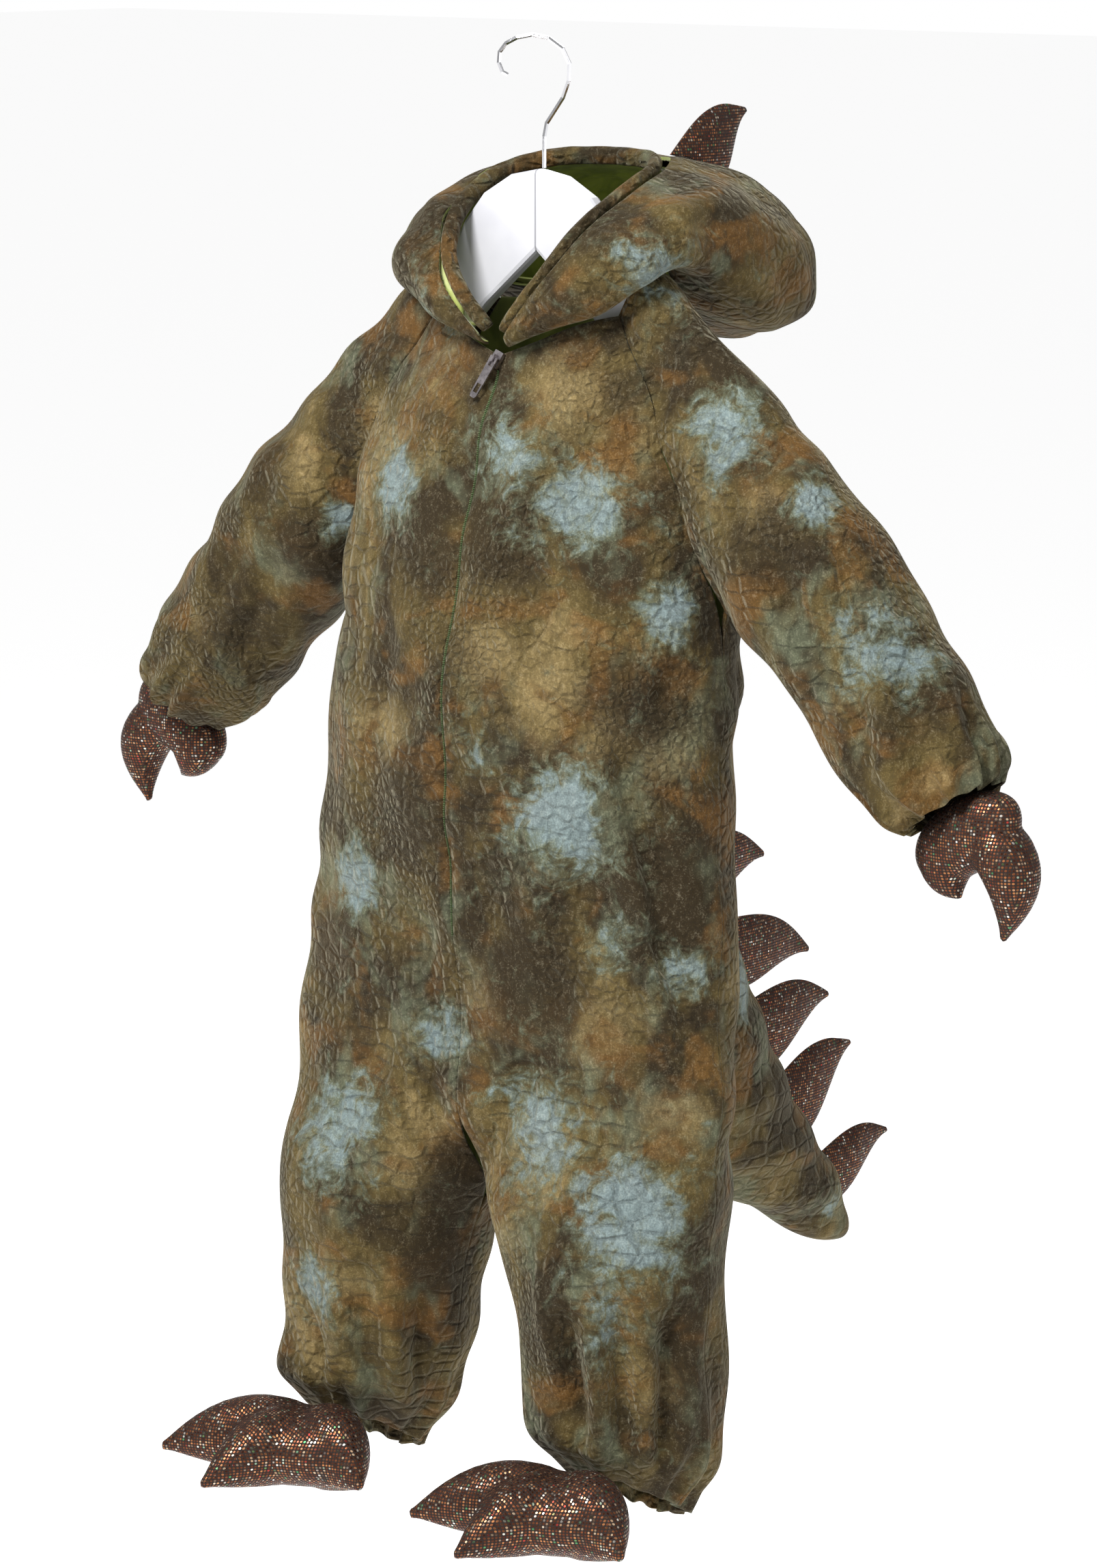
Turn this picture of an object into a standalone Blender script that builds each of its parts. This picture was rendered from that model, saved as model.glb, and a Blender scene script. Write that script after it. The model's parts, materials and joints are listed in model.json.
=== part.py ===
"""Plush dinosaur costume for a toddler, filled out on a white coat hanger.

Metres, +Z up. The garment faces -Y and the wearer's left is +X.
The origin is the inside top of the hanger's hook, where a rail would carry it.
"""
import math

import bmesh
import bpy
import numpy as np
from mathutils import Vector
from mathutils.bvhtree import BVHTree

WALL = 0.0022
HALF_SEAM = 0.00016
SEAT_GAP = 0.0004
SEAT_STEP = 0.0002
SEAT_TRIES = 16
PANEL_COLUMNS = 11
NECK_FRONT = -0.203
NECK_BACK = -0.172
NECK_SIDE = -0.142
NECK_SIDE_X = 0.090
NECK_SIDE_Y = 0.015
UNDERARM = -0.362
ANKLE = -0.944

# Body and leg sections from the neck down. centre_x moves from the body's middle to the leg's.
BODY_COLUMNS = ("z", "centre_x", "half_width", "centre_y", "front", "back")
BODY = (
    (-0.140, 0.000, 0.070, 0.026, 0.032, 0.036),
    (-0.158, 0.000, 0.082, 0.025, 0.040, 0.044),
    (-0.178, 0.000, 0.097, 0.023, 0.046, 0.053),
    (-0.208, 0.000, 0.117, 0.019, 0.054, 0.067),
    (-0.255, 0.000, 0.138, 0.014, 0.070, 0.082),
    (-0.325, 0.000, 0.152, 0.009, 0.083, 0.094),
    (-0.400, 0.000, 0.157, 0.004, 0.093, 0.098),
    (-0.475, 0.000, 0.160, -0.006, 0.088, 0.097),
    (-0.530, 0.001, 0.164, -0.012, 0.073, 0.096),
    (-0.586, 0.006, 0.166, -0.016, 0.061, 0.094),
    (-0.640, 0.020, 0.158, -0.022, 0.055, 0.088),
    (-0.700, 0.056, 0.124, -0.029, 0.052, 0.080),
    (-0.735, 0.084, 0.095, -0.032, 0.063, 0.076),
    (-0.760, 0.096, 0.083, -0.033, 0.070, 0.074),
    (-0.790, 0.100, 0.077, -0.033, 0.073, 0.073),
    (-0.829, 0.102, 0.072, -0.034, 0.069, 0.069),
    (-0.867, 0.107, 0.069, -0.035, 0.066, 0.066),
    (-0.905, 0.113, 0.066, -0.037, 0.063, 0.063),
    (-0.925, 0.115, 0.057, -0.038, 0.055, 0.055),
    (-0.938, 0.116, 0.044, -0.039, 0.043, 0.043),
    (-0.960, 0.116, 0.040, -0.039, 0.040, 0.040),
)

# Raglan seam: how far round from the side it lies, front and back alike.
RAGLAN_COLUMNS = ("z", "angle")
RAGLAN = (
    (-0.362, 0.0),
    (-0.325, 14.0),
    (-0.290, 21.0),
    (-0.255, 27.0),
    (-0.208, 33.0),
    (-0.178, 38.0),
    (-0.150, 42.0),
)

# Row heights of the panels, closer where the form turns quickly.
ROW_STOPS_COLUMNS = ("z", "row")
ROW_STOPS = (
    (-0.175, 0.0),
    (-0.362, 8.0),
    (-0.640, 14.0),
    (-0.790, 20.0),
    (-0.890, 24.0),
    (-0.944, 28.0),
)

# Large folds. side 1 is the wearer's left, -1 the right, 0 both. depth is negative for a trough.
FOLD_COLUMNS = ("side", "angle_a", "z_a", "angle_b", "z_b", "width", "depth")
FOLDS = (
    (1, -10.0, -0.455, -58.0, -0.640, 0.020, 0.0050),
    (1, -18.0, -0.440, -70.0, -0.610, 0.017, -0.0045),
    (1, -35.0, -0.400, -60.0, -0.470, 0.018, -0.0030),
    (-1, -25.0, -0.400, -50.0, -0.560, 0.020, -0.0040),
    (-1, -12.0, -0.430, -30.0, -0.600, 0.018, 0.0040),
    (-1, -62.0, -0.620, -95.0, -0.730, 0.018, -0.0040),
    (1, -60.0, -0.660, -110.0, -0.730, 0.018, -0.0045),
    (1, 20.0, -0.430, 60.0, -0.560, 0.020, -0.0040),
    (-1, 25.0, -0.420, 55.0, -0.540, 0.020, -0.0040),
    (0, 35.0, -0.700, 80.0, -0.760, 0.018, -0.0045),
    (0, -95.0, -0.800, -75.0, -0.890, 0.014, -0.0045),
    (0, -40.0, -0.820, -35.0, -0.900, 0.013, -0.0040),
    (0, 70.0, -0.810, 85.0, -0.900, 0.014, -0.0045),
)
GATHER_TOP = -0.895
GATHER_DEPTH = 0.0030

# Arm sections after the raglan, for the wearer's left. The right is its mirror image.
ARM_COLUMNS = ("x", "y", "z", "radius", "lean", "gather")
ARM = (
    (0.211, 0.018, -0.331, 0.0580, 47.0, 0.000),
    (0.233, 0.019, -0.354, 0.0555, 46.0, 0.000),
    (0.256, 0.020, -0.379, 0.0535, 44.0, 0.000),
    (0.278, 0.020, -0.406, 0.0525, 42.0, 0.000),
    (0.298, 0.019, -0.430, 0.0515, 40.0, 0.0010),
    (0.312, 0.019, -0.447, 0.0490, 38.0, 0.0024),
    (0.321, 0.019, -0.458, 0.0440, 37.0, 0.0034),
    (0.327, 0.019, -0.466, 0.0385, 36.0, 0.0034),
    (0.329, 0.019, -0.469, 0.0360, 36.0, 0.0020),
)
SHOULDER_ROWS = 5
SLEEVE_LEAVES = (0.86, 0.0, -0.51)
SLEEVE_ARRIVES = (0.69, 0.02, -0.72)
RAGLAN_GAP = 0.0005

# Hood opening and neck seam, from the front round one side to the centre back.
HOOD_COLUMNS = ("turn", "open_x", "open_y", "open_z", "neck_x", "neck_y", "neck_z",
                "face", "out_top", "out_low", "rise", "drop")
HOOD = (
    (0.00, 0.0050, -0.0370, -0.1885, 0.0060, -0.0335, -0.1985, -70, 0.004, 0.006, 0.000, 0.001),
    (0.12, 0.0240, -0.0400, -0.1690, 0.0240, -0.0275, -0.1880, -55, 0.014, 0.020, 0.000, 0.005),
    (0.26, 0.0450, -0.0340, -0.1430, 0.0445, -0.0205, -0.1800, -38, 0.034, 0.034, 0.002, 0.010),
    (0.38, 0.0560, -0.0160, -0.1190, 0.0620, -0.0120, -0.1730, -26, 0.048, 0.044, 0.005, 0.014),
    (0.46, 0.0610, 0.0020, -0.1070, 0.0745, -0.0060, -0.1610, -15, 0.056, 0.050, 0.007, 0.018),
    (0.50, 0.0620, 0.0120, -0.1020, 0.0845, 0.0020, -0.1440, -8, 0.060, 0.053, 0.008, 0.022),
    (0.58, 0.0620, 0.0320, -0.0930, 0.0860, 0.0190, -0.1350, 10, 0.072, 0.056, 0.010, 0.034),
    (0.66, 0.0590, 0.0500, -0.0880, 0.0830, 0.0360, -0.1430, 28, 0.092, 0.080, 0.012, 0.050),
    (0.72, 0.0540, 0.0620, -0.0850, 0.0740, 0.0560, -0.1660, 45, 0.118, 0.110, 0.014, 0.075),
    (0.86, 0.0350, 0.0810, -0.0810, 0.0420, 0.0700, -0.1670, 72, 0.180, 0.165, 0.018, 0.120),
    (1.00, 0.0000, 0.0880, -0.0800, 0.0000, 0.0760, -0.1670, 90, 0.208, 0.186, 0.020, 0.140),
)
HOOD_SEAM_TURN = 0.80
HOOD_ROWS = 8
HOOD_SIDE_COLUMNS = 10
HOOD_CENTRE_COLUMNS = 6
CASING_RADIUS = 0.0050
CASING_GAP = 0.0062
CASING_STEPS = 44
CASING_RIPPLE = 0.08
HOOD_FRONT_END = 0.975
LINING_WALL = 0.0012
LINING_GAP = 0.0009

# Tail rings along its length: centre, half sizes and how far the ring leans back.
TAIL_COLUMNS = ("y", "z", "half_width", "half_height", "lean")
TAIL = (
    (0.0850, -0.5980, 0.066, 0.110, 0.0),
    (0.1325, -0.6600, 0.062, 0.096, 19.0),
    (0.1800, -0.7160, 0.053, 0.073, 24.0),
    (0.2160, -0.7550, 0.044, 0.056, 26.0),
    (0.2560, -0.7930, 0.035, 0.040, 32.0),
    (0.2980, -0.8250, 0.027, 0.031, 36.0),
    (0.3275, -0.8510, 0.018, 0.021, 38.0),
    (0.3420, -0.8650, 0.008, 0.009, 40.0),
)
TAIL_SIDES = 18
PLATE_SIDES = 10
PLATE_BOW = 0.14

# Stuffed plates: the middle of the base, the tip, the base's length and the thickness.
PLATE_COLUMNS = ("name", "base_y", "base_z", "tip_y", "tip_z", "base_length", "thickness")
PLATES = (
    ("plate_hood_top", 0.154, -0.104, 0.224, -0.055, 0.060, 0.016),
    ("plate_hood_back", 0.228, -0.160, 0.284, -0.150, 0.046, 0.015),
    ("plate_back_upper", 0.101, -0.318, 0.168, -0.300, 0.054, 0.015),
    ("plate_back_middle", 0.101, -0.390, 0.176, -0.372, 0.058, 0.015),
    ("plate_back_lower", 0.100, -0.464, 0.190, -0.450, 0.060, 0.016),
    ("plate_seat", 0.160, -0.578, 0.250, -0.574, 0.060, 0.016),
    ("plate_tail_first", 0.200, -0.640, 0.303, -0.651, 0.062, 0.017),
    ("plate_tail_second", 0.238, -0.706, 0.327, -0.688, 0.062, 0.017),
    ("plate_tail_third", 0.278, -0.768, 0.354, -0.728, 0.062, 0.017),
    ("plate_tail_last", 0.324, -0.826, 0.400, -0.802, 0.048, 0.015),
)

# Mitt claws for the wearer's left hand, from the palm's centre.
CLAW_COLUMNS = ("root_x", "root_z", "bend_x", "bend_z", "tip_x", "tip_z", "radius")
PALM = (0.3390, 0.019, -0.4845)
PALM_SIZE = (0.0450, 0.0225, 0.0240)
PALM_TURN = 33.0
CLAWS = (
    (0.352, -0.484, 0.390, -0.498, 0.3690, -0.547, 0.0235),
    (0.325, -0.493, 0.320, -0.514, 0.3370, -0.5240, 0.0195),
)

# Foot cover toes: the turn from straight ahead, reach from the ankle and half size.
TOE_COLUMNS = ("turn", "reach", "half_width", "half_height", "tip_drop")
TOES = (
    (34.0, 0.146, 0.0290, 0.0240, 0.008),
    (8.0, 0.146, 0.0280, 0.0240, 0.018),
    (-42.0, 0.104, 0.0330, 0.0260, 0.018),
)
FOOT_CENTRE = (0.112, -0.112, -0.9400)
FOOT_SIZE = (0.050, 0.038, 0.027)
ANKLE_SLOPE = 0.50

# Hanger outline on the wearer's left, top edge out to the tip and back below.
HANGER_Y = 0.009
HANGER_THICK = 0.012
HANGER_TOP = ((0.0, -0.0850), (0.022, -0.0890), (0.044, -0.1010), (0.060, -0.1190),
              (0.070, -0.1390), (0.083, -0.1670), (0.102, -0.1930), (0.118, -0.2120), (0.128, -0.2230))
HANGER_UNDER = ((0.132, -0.2310), (0.127, -0.2380), (0.106, -0.2290), (0.080, -0.2080),
                (0.045, -0.1730), (0.0, -0.1360))
HANGER_EDGE = 0.003
HOOK_WIRE = 0.0030
HOOK_TURN = 28.0
# Hook route in its own plane, from the curled end over the top to the wood.
HOOK_ROUTE = ((-0.0215, -0.0245), (-0.0252, -0.0225), (-0.0262, -0.0165), (-0.0238, -0.0098),
              (-0.0180, -0.0042), (-0.0100, -0.0004), (0.0, 0.0015), (0.0110, -0.0006),
              (0.0205, -0.0072), (0.0265, -0.0170), (0.0275, -0.0280), (0.0240, -0.0390),
              (0.0165, -0.0480), (0.0090, -0.0555), (0.0062, -0.0640), (0.0060, -0.0740),
              (0.0060, -0.0843))

SLIDER_AT = -0.206
SLIDER_SIZE = (0.0076, 0.0110, 0.0026)
TAB_LENGTH = 0.029
TAB_WIDTH = 0.0070
TAB_THICK = 0.0012
TAB_TURN = 20.0


def column(rows, columns, name):
    """One named column of a table, as numbers."""
    at = columns.index(name)
    return np.array([row[at] for row in rows], float)


def smooth(keys, values, at):
    """Value of a smooth curve through table rows, with no overshoot between them."""
    order = np.argsort(keys)
    keys = np.asarray(keys)[order]
    values = np.asarray(values)[order]
    step = np.diff(keys)
    slope = np.diff(values) / step
    tangent = np.zeros(len(keys))
    inner = slope[:-1] * slope[1:] > 0
    tangent[1:-1][inner] = 2 * slope[:-1][inner] * slope[1:][inner] / (slope[:-1] + slope[1:])[inner]
    tangent[0], tangent[-1] = slope[0], slope[-1]
    at = np.clip(at, keys[0], keys[-1])
    k = np.clip(np.searchsorted(keys, at) - 1, 0, len(step) - 1)
    t = (at - keys[k]) / step[k]
    start = (2 * t**3 - 3 * t**2 + 1) * values[k] + (t**3 - 2 * t**2 + t) * step[k] * tangent[k]
    end = (-2 * t**3 + 3 * t**2) * values[k + 1] + (t**3 - t**2) * step[k] * tangent[k + 1]
    return start + end


def body_value(name, z):
    return smooth(column(BODY, BODY_COLUMNS, "z"), column(BODY, BODY_COLUMNS, name), z)


def fold_height(side, angle, z):
    """How far the cloth stands out at one place, from the fold table."""
    total = 0.0
    reach = body_value("half_width", z)
    for fold_side, angle_a, z_a, angle_b, z_b, width, depth in FOLDS:
        if fold_side not in (0, side):
            continue
        a = np.array([math.radians(angle_a) * reach, z_a])
        b = np.array([math.radians(angle_b) * reach, z_b])
        p = np.array([angle * reach, z])
        along = np.clip(np.dot(p - a, b - a) / np.dot(b - a, b - a), 0, 1)
        away = np.linalg.norm(p - (a + along * (b - a)))
        total += depth * math.exp(-(away / width) ** 2) * (0.35 + 0.65 * math.sin(math.pi * (0.08 + 0.84 * along)))
    return total


def plain_body(angle, z):
    """A point of the smooth body form of the wearer's left half; angle 0 is the side seam."""
    depth = body_value("front", z) if angle < 0 else body_value("back", z)
    x = body_value("centre_x", z) + body_value("half_width", z) * math.cos(angle)
    return np.array([x, body_value("centre_y", z) + depth * math.sin(angle), z])


def body_normal(angle, z):
    step = 1e-3
    across = plain_body(angle + step, z) - plain_body(angle - step, z)
    down = plain_body(angle, z - step) - plain_body(angle, z + step)
    normal = np.cross(down, across)
    normal = normal / np.linalg.norm(normal)
    outward = np.array([math.cos(angle), math.sin(angle), 0.0])
    return normal if np.dot(normal, outward) > 0 else -normal


def body_point(side, angle, z, out=0.0, ripple=0.0):
    """A point of the cloth, moved out along the smooth form, kept clear of the middle seam."""
    seam_fade = min(1.0, abs(angle) / 0.2) if z > ANKLE else 1.0
    offset = fold_height(side, angle, z) * seam_fade + ripple + out
    point = plain_body(angle, z) + body_normal(angle, z) * offset
    hang = np.clip((GATHER_TOP - z) / (GATHER_TOP - ANKLE), 0, 1)
    point[2] -= ANKLE_SLOPE * hang * (point[1] - body_value("centre_y", z))
    point[0] = max(point[0], HALF_SEAM)
    return point


def centre_angle(z):
    """How far round from the side the middle seam or the inseam lies."""
    centre = body_value("centre_x", z)
    half = body_value("half_width", z)
    return math.acos(np.clip((HALF_SEAM - centre) / half, -1, 1))


def raglan_angle(z):
    return math.radians(smooth(column(RAGLAN, RAGLAN_COLUMNS, "z"), column(RAGLAN, RAGLAN_COLUMNS, "angle"), z))


def material(name, colour, roughness, metallic=0.0):
    made = bpy.data.materials.new(name)
    made.use_nodes = True
    shader = made.node_tree.nodes["Principled BSDF"]
    shader.inputs["Base Color"].default_value = (*colour, 1.0)
    shader.inputs["Roughness"].default_value = roughness
    shader.inputs["Metallic"].default_value = metallic
    return made


def add_object(name, mesh, finish, collection):
    thing = bpy.data.objects.new(name, mesh)
    thing.data.materials.append(finish)
    thing.data.shade_smooth()
    collection.objects.link(thing)
    return thing


def mesh_from(name, points, faces):
    mesh = bpy.data.meshes.new(name)
    mesh.from_pydata([tuple(p) for p in points], [], faces)
    made = bmesh.new()
    made.from_mesh(mesh)
    bmesh.ops.recalc_face_normals(made, faces=made.faces)
    if made.calc_volume(signed=True) < 0:
        bmesh.ops.reverse_faces(made, faces=made.faces)
    made.to_mesh(mesh)
    made.free()
    mesh.set_sharp_from_angle(angle=math.radians(50))
    return mesh


def cloth_mesh(name, outer, inner, closed):
    """A wall of cloth between two grids of the same shape; closed joins the last column to the first."""
    rows, columns = outer.shape[:2]
    points = list(outer.reshape(-1, 3)) + list(inner.reshape(-1, 3))
    inside = rows * columns
    faces = []
    last = columns if closed else columns - 1
    for r in range(rows - 1):
        for c in range(last):
            a = r * columns + c
            b = r * columns + (c + 1) % columns
            faces.append((a, b, b + columns, a + columns))
            faces.append((a + inside, a + columns + inside, b + columns + inside, b + inside))
    for c in range(last):
        for edge in (0, (rows - 1) * columns):
            a = edge + c
            b = edge + (c + 1) % columns
            faces.append((a, b, b + inside, a + inside))
    if not closed:
        for r in range(rows - 1):
            for c in (0, columns - 1):
                a = r * columns + c
                faces.append((a, a + columns, a + columns + inside, a + inside))
    return mesh_from(name, points, faces)


def solid_mesh(name, rings):
    """A stuffed form through closed rings, with a fan over each end."""
    rings = np.asarray(rings)
    count, sides = rings.shape[:2]
    points = list(rings.reshape(-1, 3)) + [rings[0].mean(axis=0), rings[-1].mean(axis=0)]
    faces = []
    for r in range(count - 1):
        for c in range(sides):
            a = r * sides + c
            b = r * sides + (c + 1) % sides
            faces.append((a, b, b + sides, a + sides))
    for c in range(sides):
        faces.append((c, (c + 1) % sides, count * sides))
        a = (count - 1) * sides
        faces.append((a + c, a + (c + 1) % sides, count * sides + 1))
    return mesh_from(name, points, faces)


def mirrored(grid):
    flipped = grid.copy()
    flipped[..., 0] *= -1
    return flipped


def panel_rows():
    stops = column(ROW_STOPS, ROW_STOPS_COLUMNS, "row")
    return smooth(stops, column(ROW_STOPS, ROW_STOPS_COLUMNS, "z"), np.arange(stops[0], stops[-1] + 1))


def body_panel(side, front):
    """Outer and inner grids of a front or back panel, from neck to ankle."""
    sign = -1 if front else 1
    neck = NECK_FRONT if front else NECK_BACK
    seam_turn = HALF_SEAM / 0.085
    outer, inner = [], []
    for row, height in enumerate(panel_rows()):
        outer_row, inner_row = [], []
        for c in range(PANEL_COLUMNS + 1):
            u = c / PANEL_COLUMNS
            neck_fade = max(0.0, 1 - row / 4)
            z = height + (neck - ROW_STOPS[0][0]) * neck_fade * (1 - u) ** 1.5
            edge = raglan_angle(z) if z > UNDERARM else 0.0
            far = centre_angle(z)
            far = min(far, math.pi - HALF_SEAM / 0.06)
            angle = far + (edge + seam_turn - far) * u
            pull = np.clip((GATHER_TOP - z) / (GATHER_TOP - ANKLE), 0, 1)
            inside = 0 < c < PANEL_COLUMNS
            ripple = GATHER_DEPTH * pull * (1 if c % 2 else -1) * (1 if inside else 0)
            outer_row.append(body_point(side, sign * angle, z, 0.0, ripple))
            inner_row.append(body_point(side, sign * angle, z, -WALL, ripple))
        outer.append(outer_row)
        inner.append(inner_row)
    outer, inner = np.array(outer), np.array(inner)
    if side < 0:
        outer, inner = mirrored(outer), mirrored(inner)
    return outer, inner


def raglan_ring():
    """Where the sleeve begins, from the underarm up the front, over the shoulder and down the back."""
    rows = [z for z in panel_rows() if z >= UNDERARM - 1e-6]
    ring, normals = [], []
    for sign in (-1, 1):
        for z in (rows[::-1] if sign < 0 else rows):
            if sign > 0 and z <= UNDERARM + 1e-6:
                continue
            angle = sign * (raglan_angle(z) if z > UNDERARM else 0.0)
            ring.append(body_point(0, angle, z))
            normals.append(body_normal(angle, z))
        if sign < 0:
            shoulder_start = len(ring)
    front, back = ring[shoulder_start - 1], ring[shoulder_start]
    top = np.array([NECK_SIDE_X, NECK_SIDE_Y, NECK_SIDE])
    arcs = 5
    for k in range(1, arcs):
        t = k / arcs
        arc = (1 - t) ** 2 * front + 2 * t * (1 - t) * (2 * top - 0.5 * (front + back)) + t**2 * back
        ring.insert(shoulder_start + k - 1, arc)
        up = np.array([0.55, 0.6 * (2 * t - 1), 1.0])
        normals.insert(shoulder_start + k - 1, up / np.linalg.norm(up))
    return np.array(ring), np.array(normals)


def arm_ring(row, phases):
    """One ring of the sleeve, square to the arm, from its lowest point."""
    x, y, z, radius, lean, gather = row
    lean = math.radians(lean)
    across = np.array([math.cos(lean), 0.0, math.sin(lean)])
    ring = []
    for k, phase in enumerate(phases):
        reach = radius + gather * (1 if k % 2 else -1)
        offset = across * math.cos(phase) * reach + np.array([0.0, 1.0, 0.0]) * math.sin(phase) * reach
        ring.append(np.array([x, y, z]) + offset)
    return np.array(ring)


def sleeve_grids():
    """Outer and inner grids of the wearer's left sleeve."""
    start, body_facing = raglan_ring()
    closed = np.vstack([start, start[:1]])
    lengths = np.concatenate([[0], np.cumsum(np.linalg.norm(np.diff(closed, axis=0), axis=1))])
    phases = math.pi + 2 * math.pi * lengths[:-1] / lengths[-1]
    first = arm_ring(ARM[0], phases)
    span = np.linalg.norm(np.array(ARM[0][:3]) - start.mean(axis=0))
    leave = np.array(SLEEVE_LEAVES) * span
    arrive = np.array(SLEEVE_ARRIVES) * span
    rows = []
    for k in range(SHOULDER_ROWS):
        t = k / SHOULDER_ROWS
        a, b = 2 * t**3 - 3 * t**2 + 1, -2 * t**3 + 3 * t**2
        c, d = t**3 - 2 * t**2 + t, t**3 - t**2
        rows.append(a * start + b * first + 0.55 * c * leave + 0.75 * d * arrive)
    rows += [arm_ring(row, phases) for row in ARM]
    outer = np.array(rows)
    across = np.roll(outer, -1, axis=1) - np.roll(outer, 1, axis=1)
    down = np.gradient(outer, axis=0)
    normals = np.cross(across, down)
    middle = outer.mean(axis=1, keepdims=True)
    flip = np.sign(np.sum(normals * (outer - middle), axis=(1, 2)))
    normals = normals * flip[:, None, None]
    normals /= np.linalg.norm(normals, axis=2, keepdims=True)
    agree = np.clip(np.sum(normals[0] * body_facing, axis=1), 0, 1)[:, None]
    normals[0] = agree * body_facing + (1 - agree) * normals[0]
    normals[0] /= np.linalg.norm(normals[0], axis=1)[:, None]
    inward = start.mean(axis=0) - start
    inward -= body_facing * np.sum(inward * body_facing, axis=1)[:, None]
    inward /= np.linalg.norm(inward, axis=1)[:, None]
    outer[0] += inward * RAGLAN_GAP
    return outer, outer - WALL * normals


def hood_value(name, turn):
    return smooth(column(HOOD, HOOD_COLUMNS, "turn"), column(HOOD, HOOD_COLUMNS, name), turn)


def hood_point(t, w, clear=0.0):
    """Hood cloth. t runs from the right front round the back to the left front, w from opening to neck."""
    side = 1 if t >= 0 else -1
    turn = 1 - abs(t)
    opening = np.array([hood_value(n, turn) for n in ("open_x", "open_y", "open_z")])
    neck = np.array([hood_value(n, turn) for n in ("neck_x", "neck_y", "neck_z")])
    face = math.radians(hood_value("face", turn))
    facing = np.array([math.cos(face), math.sin(face), 0.0])
    high = opening + facing * hood_value("out_top", turn) + np.array([0, 0, hood_value("rise", turn)])
    low = neck + facing * hood_value("out_low", turn) - np.array([0, 0, hood_value("drop", turn)])
    start = min(0.45, clear / (3 * np.linalg.norm(high - opening)))
    w = start + (1 - start) * w
    point = (1 - w) ** 3 * opening + 3 * w * (1 - w) ** 2 * high + 3 * w**2 * (1 - w) * low + w**3 * neck
    point[0] *= side
    return point


def hood_grids(turns, inset, wall):
    """Outer and inner grids of a part of the hood, moved in from its outside by inset."""
    outer, inner = [], []
    step = 2e-3
    for r in range(HOOD_ROWS + 1):
        w = r / HOOD_ROWS
        outer_row, inner_row = [], []
        for t in turns:
            point = hood_point(t, w, CASING_GAP)
            across = hood_point(t + step, w, CASING_GAP) - hood_point(t - step, w, CASING_GAP)
            down = hood_point(t, min(w + step, 1), CASING_GAP) - hood_point(t, max(w - step, 0), CASING_GAP)
            normal = np.cross(across, down)
            normal /= np.linalg.norm(normal)
            outer_row.append(point - normal * inset)
            inner_row.append(point - normal * (inset + wall))
        outer.append(outer_row)
        inner.append(inner_row)
    return np.array(outer), np.array(inner)


def tree_of(meshes):
    """One search tree over the triangles of several finished solids."""
    points, faces = [], []
    for mesh in meshes:
        start = len(points)
        mesh.calc_loop_triangles()
        points += [v.co for v in mesh.vertices]
        faces += [[start + i for i in face.vertices] for face in mesh.loop_triangles]
    return BVHTree.FromPolygons(points, faces)


def seated(point, direction, tree, gap, back_off=0.30):
    """The point slid along a direction until it lies a small gap above what carries it."""
    direction = Vector(direction).normalized()
    start = Vector(point) - direction * back_off
    hit = tree.ray_cast(start, direction, 2 * back_off)[0]
    if hit is None:
        return np.array(point)
    return np.array(hit - direction * gap)


def tube_rings(route, radii, sides, ripple=0.0):
    """Rings square to a route, each turned as little as possible from the one before."""
    route = np.asarray(route, float)
    along = np.gradient(route, axis=0)
    along /= np.linalg.norm(along, axis=1)[:, None]
    helper = np.array([0.0, 1.0, 0.0]) if abs(along[0][1]) < 0.9 else np.array([1.0, 0.0, 0.0])
    side = np.cross(along[0], helper)
    rings = []
    for k, (point, forward) in enumerate(zip(route, along)):
        side = side - forward * np.dot(side, forward)
        side /= np.linalg.norm(side)
        up = np.cross(forward, side)
        wide, tall = radii[k]
        wave = 1 + ripple * (1 if k % 2 else -1)
        turn = 2 * math.pi * np.arange(sides) / sides
        rings.append(point + np.outer(np.cos(turn) * wide * wave, side) + np.outer(np.sin(turn) * tall * wave, up))
    return rings


def add_body_panels(plush, parts):
    made = []
    for side, side_name in ((1, "left"), (-1, "right")):
        for front, place in ((True, "front"), (False, "back")):
            outer, inner = body_panel(side, front)
            name = f"{place}_{side_name}"
            made.append(add_object(name, cloth_mesh(name, outer, inner, False), plush, parts))
    return made


def add_sleeves(plush, parts):
    outer, inner = sleeve_grids()
    for side, side_name in ((1, "left"), (-1, "right")):
        name = f"sleeve_{side_name}"
        grids = (outer, inner) if side > 0 else (mirrored(outer), mirrored(inner))
        add_object(name, cloth_mesh(name, *grids, True), plush, parts)


def add_hood(plush, satin, parts):
    seam = 1 - HOOD_SEAM_TURN
    half_gap = 0.0012
    side_turns = np.linspace(seam + half_gap, HOOD_FRONT_END, HOOD_SIDE_COLUMNS + 1)
    centre_turns = np.linspace(-seam + half_gap, seam - half_gap, HOOD_CENTRE_COLUMNS + 1)
    made = []
    for name, turns in (("hood_right", -side_turns[::-1]), ("hood_centre", centre_turns), ("hood_left", side_turns)):
        outer, inner = hood_grids(turns, 0.0, WALL)
        made.append(add_object(name, cloth_mesh(name, outer, inner, False), plush, parts))
    lining = np.concatenate([-side_turns[:-1][::-1], centre_turns[1:-1], side_turns[:-1]])
    outer, inner = hood_grids(lining, WALL + LINING_GAP, LINING_WALL)
    add_object("hood_lining", cloth_mesh("hood_lining", outer, inner, False), satin, parts)
    route = []
    for t in np.linspace(-HOOD_FRONT_END, HOOD_FRONT_END, CASING_STEPS + 1):
        point = hood_point(t, 0.0)
        away = point - hood_point(t, 0.04)
        away /= np.linalg.norm(away)
        route.append(point + away * (CASING_RADIUS * 0.4))
    radii = [(CASING_RADIUS * 0.8, CASING_RADIUS * 1.0)] * len(route)
    rings = tube_rings(route, radii, 7, CASING_RIPPLE)
    add_object("hood_casing", solid_mesh("hood_casing", rings), plush, parts)
    return made


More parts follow.
